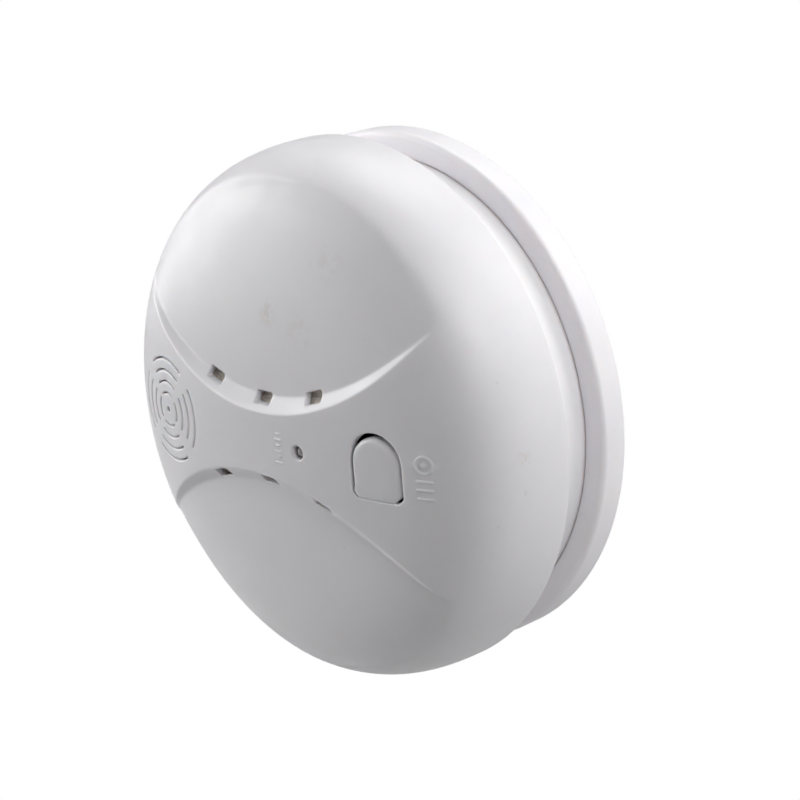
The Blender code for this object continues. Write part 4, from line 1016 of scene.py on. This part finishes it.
def build_base_ring():
    low, high = CHANNEL_RADII
    profile = [(0.0, PLATE_BACK), (RIM_PAD_RADIUS, PLATE_BACK)]
    profile += [(RIM_PAD_RADIUS + out, depth) for out, depth in RIM_PAD_EDGE]
    profile += [(low, 0.0), (low, CHANNEL_DEPTH), (high, CHANNEL_DEPTH), (high, 0.0)]
    profile += corner(BASE_RADIUS, 0.0, BASE_BACK_FILLET, 270.0)
    profile += corner(BASE_RADIUS, BASE_DEPTH, BASE_FRONT_FILLET, 0.0, 8)
    profile += corner(BASE_INNER_RADIUS, BASE_DEPTH, BASE_INNER_FILLET, 90.0)
    profile += [(BASE_INNER_RADIUS, PLATE_FRONT), (0.0, PLATE_FRONT)]
    base = turned_object("base_ring", profile, ROUND_STEPS)
    inside = 0.5 * (PLATE_BACK + PLATE_FRONT)
    pads = circles([(0.0, 0.0)], CENTRE_PAD_RADIUS, 64)
    pads += circles([(x, 0.0) for x in KEYHOLE_PLACES], KEYHOLE_PAD_RADIUS, 48)
    add_prisms(base, pads, 0.0, inside)
    low, high = RIB_ENDS
    half = RIB_WIDTH / 2
    rib = np.array([(low, -half), (high, -half), (high, half), (low, half)])
    ribs = []
    for number in range(RIB_COUNT):
        angle = -2.0 * math.pi * (number + 0.5) / RIB_COUNT
        ribs.append(turned(rib, angle))
    add_prisms(base, ribs, 0.0, inside)
    catches = []
    for middle in CATCH_ANGLES:
        ends = (middle - CATCH_HALF_ANGLE, middle + CATCH_HALF_ANGLE)
        catches.append(ring_sector(CATCH_INNER_RADIUS, BASE_INNER_RADIUS + CATCH_ROOT, *ends, 12))
    add_prisms(base, catches, *CATCH_DEPTHS)
    heads = circles([(x, -KEYHOLE_DROP) for x in KEYHOLE_PLACES], KEYHOLE_HEAD_RADIUS, 48)
    cut_prisms(base, heads, -MM, PLATE_FRONT + MM)
    slots = []
    for x in KEYHOLE_PLACES:
        top = arc((x, KEYHOLE_RISE), KEYHOLE_SLOT_RADIUS, 0.0, math.pi, 20)
        foot = [(x - KEYHOLE_SLOT_RADIUS, -KEYHOLE_DROP), (x + KEYHOLE_SLOT_RADIUS, -KEYHOLE_DROP)]
        slots.append(np.concatenate([top, foot]))
    cut_prisms(base, slots, -MM, PLATE_FRONT + MM)
    return base


# ---------------- materials

class Look:
    """A Principled material whose colour, roughness and bump come from object-space noise."""

    def __init__(self, name, roughness, metallic=0.0):
        self.slot = name
        self.material = bpy.data.materials.new(f"{name}_look")
        self.material.use_nodes = True
        self.nodes = self.material.node_tree.nodes
        self.links = self.material.node_tree.links
        self.shader = self.nodes["Principled BSDF"]
        self.shader.inputs["Roughness"].default_value = roughness
        self.shader.inputs["Metallic"].default_value = metallic
        self.place = self.nodes.new("ShaderNodeTexCoord").outputs["Object"]
        self.bump = None

    def node(self, kind, values=None, operation=None):
        """A new node whose inputs get these values, or links where a value is a socket."""
        made = self.nodes.new(f"ShaderNode{kind}")
        if operation:
            made.operation = operation
        for key, value in (values or {}).items():
            if isinstance(value, bpy.types.NodeSocket):
                self.links.new(value, made.inputs[key])
            else:
                made.inputs[key].default_value = value
        return made

    def noise(self, size, detail=3.0):
        """Noise with features of about that size; its value output."""
        values = {"Scale": 1.0 / size, "Detail": detail, "Vector": self.place}
        return self.node("TexNoise", values).outputs["Fac"]

    def scaled(self, value, low, high, start=0.0, end=1.0):
        """A value remapped from start..end to low..high."""
        values = {"From Min": start, "From Max": end, "To Min": low, "To Max": high, "Value": value}
        node = self.node("MapRange", values)
        node.interpolation_type = "SMOOTHSTEP"
        return node.outputs["Result"]

    def mixed(self, share, first, second):
        """Two colours mixed by a share; the first may be a socket."""
        node = self.nodes.new("ShaderNodeMix")
        node.data_type = "RGBA"
        self.links.new(share, node.inputs["Factor"])
        for name, colour in (("A", first), ("B", second)):
            socket = next(s for s in node.inputs if s.name == name and s.type == "RGBA")
            if isinstance(colour, tuple):
                socket.default_value = (*colour, 1.0)
            else:
                self.links.new(colour, socket)
        return next(s for s in node.outputs if s.type == "RGBA")

    def set_colour(self, colour):
        self.colour = colour
        self.links.new(colour, self.shader.inputs["Base Color"])

    def paint(self, first, second, size):
        """Colour that wanders between two close tones."""
        share = self.scaled(self.noise(size), 0.0, 1.0, 0.3, 0.7)
        self.set_colour(self.mixed(share, first, second))

    def stain(self, centre, radius, colour, strength):
        """A soft-edged, broken-up patch of another tone."""
        apart = self.node("VectorMath", {0: self.place, 1: centre}, "DISTANCE").outputs["Value"]
        spot = self.scaled(apart, strength, 0.0, 0.0, radius)
        broken = self.scaled(self.noise(radius * 0.35), 0.0, 1.0, 0.4, 0.62)
        share = self.node("Math", {0: spot, 1: broken}, "MULTIPLY").outputs["Value"]
        self.set_colour(self.mixed(share, self.colour, colour))

    def painted_seam_shade(self, depth, width, colour, strength):
        """A band of painted shade: another tone that fades away in front of a depth."""
        height = self.node("SeparateXYZ", {"Vector": self.place}).outputs["Y"]
        share = self.scaled(height, 0.0, strength, -depth - width, -depth)
        self.set_colour(self.mixed(share, self.colour, colour))

    def vary_roughness(self, low, high, size):
        varied = self.scaled(self.noise(size), low, high, 0.3, 0.7)
        self.links.new(varied, self.shader.inputs["Roughness"])

    def rough_surface(self, size, height):
        """Bump from noise."""
        self.add_bump(self.noise(size, 2.0), height)

    def weave(self, pitch, height):
        """Bump of threads that run along X and Z."""
        values = {"Scale": math.pi / (10.0 * pitch), "Distortion": 0.3, "Vector": self.place}
        for direction in ("X", "Z"):
            wave = self.node("TexWave", values)
            wave.bands_direction = direction
            self.add_bump(wave.outputs["Fac"], height)

    def add_bump(self, pattern, height):
        """One more bump on top of those that are there."""
        node = self.node("Bump", {"Distance": height, "Height": pattern})
        if self.bump is not None:
            self.links.new(self.bump, node.inputs["Normal"])
        self.bump = node.outputs["Normal"]
        self.links.new(self.bump, self.shader.inputs["Normal"])


# White mouldings: slot, two tones, roughness, grain size and height in millimetres
WHITE_LOOKS = (
    ("housing_white", (0.83, 0.822, 0.845), (0.815, 0.807, 0.83), 0.40, 0.35, 0.002),
    ("button_white", (0.83, 0.822, 0.845), (0.815, 0.807, 0.83), 0.38, 0.35, 0.002),
    # The neck's tones are lighter than the cover's as painted light that lifts the shaded groove between
    # cover and base; the faint lavender tint is the plastic's own
    ("neck_white", (0.945, 0.925, 0.955), (0.93, 0.91, 0.945), 0.45, 0.25, 0.003),
    # The base's tones are lighter than the cover's: partly its own lavender-white plastic, partly
    # painted light on its shaded front face
    ("base_white", (0.92, 0.90, 0.93), (0.905, 0.885, 0.92), 0.42, 0.25, 0.003),
)
GLOW_SHARE = 0.7
GLOW_TINT = (1.0, 0.88, 0.8)
GLOW_REACH = 1.3 * MM
TONE_SIZE = 14.0 * MM
GLOSS_SIZE = 6.0 * MM
WAVE_SIZE = 22.0 * MM
WAVE_HEIGHT = 0.02 * MM
# Painted shade in the crease where the neck meets the base: width, colour and share
SEAM_SHADE_WIDTH = 0.9 * MM
SEAM_SHADE_COLOUR = (0.72, 0.62, 0.56)
SEAM_SHADE_SHARE = 0.4

# Stains on the cover: x and z, radius (all in millimetres), colour, strength
COVER_STAINS = (
    ((2.0, 25.0), 4.0, (0.62, 0.55, 0.50), 0.35),
    ((11.0, 23.0), 5.0, (0.66, 0.61, 0.56), 0.25),
    ((17.0, 36.0), 6.0, (0.68, 0.62, 0.57), 0.22),
    ((53.5, 2.5), 2.5, (0.70, 0.64, 0.56), 0.4),
    ((50.1, 16.5), 0.5, (0.55, 0.50, 0.46), 0.5),
    ((53.4, -4.4), 0.7, (0.50, 0.46, 0.42), 0.6),
    ((50.6, -10.1), 0.6, (0.50, 0.46, 0.42), 0.5),
    ((50.6, -16.0), 0.4, (0.55, 0.50, 0.46), 0.4),
    ((19.3, -18.3), 0.5, (0.55, 0.50, 0.46), 0.5),
    ((17.0, 10.4), 0.4, (0.55, 0.50, 0.46), 0.4),
)


def plastic_look(slot, bright, dull, roughness, grain, height):
    """Moulded plastic: close tones, a fine grain and slow waviness from the mould."""
    look = Look(slot, roughness)
    look.shader.inputs["Subsurface Weight"].default_value = GLOW_SHARE
    look.shader.inputs["Subsurface Radius"].default_value = GLOW_TINT
    look.shader.inputs["Subsurface Scale"].default_value = GLOW_REACH
    look.paint(bright, dull, TONE_SIZE)
    look.vary_roughness(roughness - 0.04, roughness + 0.05, GLOSS_SIZE)
    look.rough_surface(WAVE_SIZE, WAVE_HEIGHT)
    look.rough_surface(grain * MM, height * MM)
    return look


def white_looks():
    """The four white mouldings, with stains on the cover and painted shade where the neck meets the
    base.
    """
    looks = {row[0]: plastic_look(*row) for row in WHITE_LOOKS}
    for (x, z), radius, colour, strength in COVER_STAINS:
        place = (x * MM, -front_at(x * MM, z * MM), z * MM)
        looks["housing_white"].stain(place, radius * MM, colour, strength)
    # Painted shade on the neck, darkest where it meets the base
    looks["neck_white"].painted_seam_shade(BASE_DEPTH, SEAM_SHADE_WIDTH, SEAM_SHADE_COLOUR, SEAM_SHADE_SHARE)
    return {slot: look.material for slot, look in looks.items()}


# Inner parts: slot, two tones, roughness, metallic, then the size of the tone changes, grain
# size and grain height in millimetres
INNER_LOOKS = (
    ("board_green", (0.02, 0.17, 0.07), (0.04, 0.25, 0.10), 0.38, 0.0, 2.2, 0.6, 0.01),
    ("led_lens", (0.40, 0.38, 0.38), (0.46, 0.44, 0.44), 0.10, 0.0, 1.5, 0.5, 0.001),
    ("spacer_black", (0.02, 0.02, 0.02), (0.03, 0.03, 0.03), 0.50, 0.0, 1.0, 0.2, 0.004),
    ("switch_black", (0.015, 0.015, 0.015), (0.03, 0.03, 0.03), 0.48, 0.0, 1.0, 0.2, 0.004),
    ("tinned_steel", (0.62, 0.62, 0.60), (0.74, 0.74, 0.72), 0.32, 1.0, 1.2, 0.1, 0.003),
    ("plunger_red", (0.30, 0.02, 0.015), (0.38, 0.04, 0.03), 0.42, 0.0, 0.8, 0.2, 0.003),
    ("chamber_black", (0.010, 0.010, 0.010), (0.018, 0.017, 0.016), 0.75, 0.0, 2.0, 0.15, 0.008),
    ("screen_steel", (0.48, 0.48, 0.49), (0.60, 0.60, 0.60), 0.36, 1.0, 1.0, 0.1, 0.004),
    ("emitter_blue", (0.08, 0.10, 0.20), (0.12, 0.14, 0.26), 0.12, 0.0, 1.5, 0.5, 0.001),
    ("diode_dark", (0.02, 0.015, 0.015), (0.04, 0.03, 0.03), 0.18, 0.0, 1.5, 0.5, 0.001),
    ("horn_white", (0.78, 0.77, 0.74), (0.74, 0.73, 0.70), 0.50, 0.0, 2.0, 0.2, 0.005),
    ("brass", (0.70, 0.52, 0.20), (0.80, 0.62, 0.28), 0.30, 1.0, 2.5, 0.1, 0.003),
    ("ceramic_white", (0.76, 0.74, 0.68), (0.82, 0.80, 0.74), 0.50, 0.0, 2.0, 0.1, 0.003),
    ("chip_black", (0.015, 0.015, 0.015), (0.03, 0.03, 0.03), 0.55, 0.0, 1.2, 0.15, 0.006),
    ("capacitor_sleeve", (0.02, 0.03, 0.09), (0.04, 0.05, 0.12), 0.35, 0.0, 2.0, 0.4, 0.002),
    ("ferrite_grey", (0.07, 0.07, 0.07), (0.12, 0.12, 0.12), 0.60, 0.0, 0.6, 0.15, 0.010),
    ("battery_jacket", (0.03, 0.06, 0.17), (0.05, 0.10, 0.22), 0.33, 0.0, 8.0, 0.5, 0.003),
    ("nickel", (0.68, 0.66, 0.61), (0.77, 0.75, 0.70), 0.26, 1.0, 1.5, 0.1, 0.002),
    ("connector_vinyl", (0.02, 0.02, 0.02), (0.035, 0.035, 0.035), 0.52, 0.0, 2.0, 0.3, 0.008),
    ("lead_red", (0.38, 0.015, 0.015), (0.48, 0.03, 0.02), 0.42, 0.0, 1.5, 0.2, 0.002),
    ("lead_black", (0.015, 0.015, 0.015), (0.03, 0.03, 0.03), 0.42, 0.0, 1.5, 0.2, 0.002),
    ("screw_steel", (0.52, 0.52, 0.50), (0.66, 0.66, 0.63), 0.33, 1.0, 1.0, 0.1, 0.003),
)


def gauze_look():
    """Woven gauze: a bump of crossed threads over a mottled tone."""
    look = Look("gauze_grey", 0.65)
    look.paint((0.78, 0.71, 0.63), (0.68, 0.61, 0.54), GAUZE_MOTTLE)
    look.vary_roughness(0.55, 0.75, GAUZE_GLOSS_SIZE)
    look.weave(GAUZE_PITCH, GAUZE_THREAD_HEIGHT)
    return look


def inner_looks():
    made = {}
    for slot, first, second, roughness, metallic, size, grain, height in INNER_LOOKS:
        look = Look(slot, roughness, metallic)
        look.paint(first, second, size * MM)
        look.vary_roughness(0.85 * roughness, 1.15 * roughness, 2.0 * size * MM)
        look.rough_surface(grain * MM, height * MM)
        made[slot] = look.material
    made["gauze_grey"] = gauze_look().material
    return made


def dress(thing, material):
    thing.data.materials.clear()
    thing.data.materials.append(material)


# ---------------- stage

def from_angles(azimuth, elevation):
    """Unit vector towards a place: azimuth 0 is in front, at -Y, and 90 is at +X."""
    return Vector((
        math.sin(azimuth) * math.cos(elevation),
        -math.cos(azimuth) * math.cos(elevation),
        math.sin(elevation),
    ))


def build_camera():
    back = from_angles(CAMERA_AZIMUTH, CAMERA_ELEVATION)
    level = Vector((math.cos(CAMERA_AZIMUTH), math.sin(CAMERA_AZIMUTH), 0.0))
    upright = back.cross(level)
    right = math.cos(CAMERA_ROLL) * level - math.sin(CAMERA_ROLL) * upright
    up = math.cos(CAMERA_ROLL) * upright + math.sin(CAMERA_ROLL) * level
    data = bpy.data.cameras.new("camera")
    data.lens = CAMERA_LENS
    data.clip_start = 0.01
    data.clip_end = 100.0
    camera = bpy.data.objects.new("camera", data)
    bpy.context.scene.collection.objects.link(camera)
    turn = Matrix((right, up, back)).transposed().to_4x4()
    camera.matrix_world = Matrix.Translation(CAMERA_AIM + CAMERA_DISTANCE * back) @ turn
    bpy.context.scene.camera = camera


def build_softboxes():
    for name, azimuth, elevation, power in SOFTBOXES:
        towards = from_angles(math.radians(azimuth), math.radians(elevation))
        data = bpy.data.lights.new(name, "AREA")
        data.shape = "SQUARE"
        data.size = SOFTBOX_WIDTH
        data.energy = power
        light = bpy.data.objects.new(name, data)
        light.location = towards * SOFTBOX_DISTANCE
        light.rotation_mode = "QUATERNION"
        light.rotation_quaternion = towards.to_track_quat("Z", "Y")
        bpy.context.scene.collection.objects.link(light)


def seen_as(tree, real, seen, output):
    """Show one shader to the camera and another to all other rays."""
    path = tree.nodes.new("ShaderNodeLightPath")
    mix = tree.nodes.new("ShaderNodeMixShader")
    tree.links.new(path.outputs["Is Camera Ray"], mix.inputs["Fac"])
    tree.links.new(real.outputs[0], mix.inputs[1])
    tree.links.new(seen.outputs[0], mix.inputs[2])
    tree.links.new(mix.outputs["Shader"], tree.nodes[output].inputs["Surface"])


def build_world():
    """A backdrop that the camera sees as white, with a dim even light for all other rays."""
    world = bpy.data.worlds.new("studio")
    bpy.context.scene.world = world
    world.use_nodes = True
    tree = world.node_tree
    dim = tree.nodes["Background"]
    dim.inputs["Color"].default_value = (AMBIENT_GREY, AMBIENT_GREY, AMBIENT_GREY, 1.0)
    white = tree.nodes.new("ShaderNodeBackground")
    white.inputs["Color"].default_value = (1.0, 1.0, 1.0, 1.0)
    seen_as(tree, dim, white, "World Output")


def build_floor():
    """A floor that the camera sees as plain white and that is grey to all other rays."""
    half = FLOOR_SIZE / 2
    corners = [(-half, -half), (half, -half), (half, half), (-half, half)]
    floor = object_from("floor", [(x, y, FLOOR_Z) for x, y in corners], [(0, 1, 2, 3)])
    material = bpy.data.materials.new("floor_white")
    material.use_nodes = True
    tree = material.node_tree
    shader = tree.nodes["Principled BSDF"]
    shader.inputs["Base Color"].default_value = (FLOOR_GREY, FLOOR_GREY, FLOOR_GREY, 1.0)
    shader.inputs["Roughness"].default_value = 0.9
    seen_as(tree, shader, tree.nodes.new("ShaderNodeEmission"), "Material Output")
    dress(floor, material)


# ---------------- assembly

PIECES = (
    (build_cover, "front_cover", "head", "housing_white"),
    (build_tongue, "test_button", "button", "button_white"),
    (lambda: build_gauze("upper_gauze", 1.0), "vent_gauze_upper", "head", "gauze_grey"),
    (lambda: build_gauze("lower_gauze", -1.0), "vent_gauze_lower", "head", "gauze_grey"),
    (build_led, "indicator_led", "head", "led_lens"),
    (build_rear_tray, "rear_housing", "head", "neck_white"),
    (build_base_ring, "mounting_base", "base", "base_white"),
)


def main():
    looks = {**white_looks(), **inner_looks()}
    for build, node, body, slot in PIECES:
        piece = build()
        dress(piece, looks[slot])
        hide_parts(node)
        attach(piece, body)
    replaced = {node for build, node, body, slot in PIECES}
    for part in FRAME["record"]["subparts"]:
        if part["node"] not in replaced:
            dress(FRAME["nodes"][part["node"]], looks[part["material_slot"]])
    build_camera()
    build_softboxes()
    build_world()
    build_floor()
    bpy.context.scene.view_settings.view_transform = "Standard"


main()
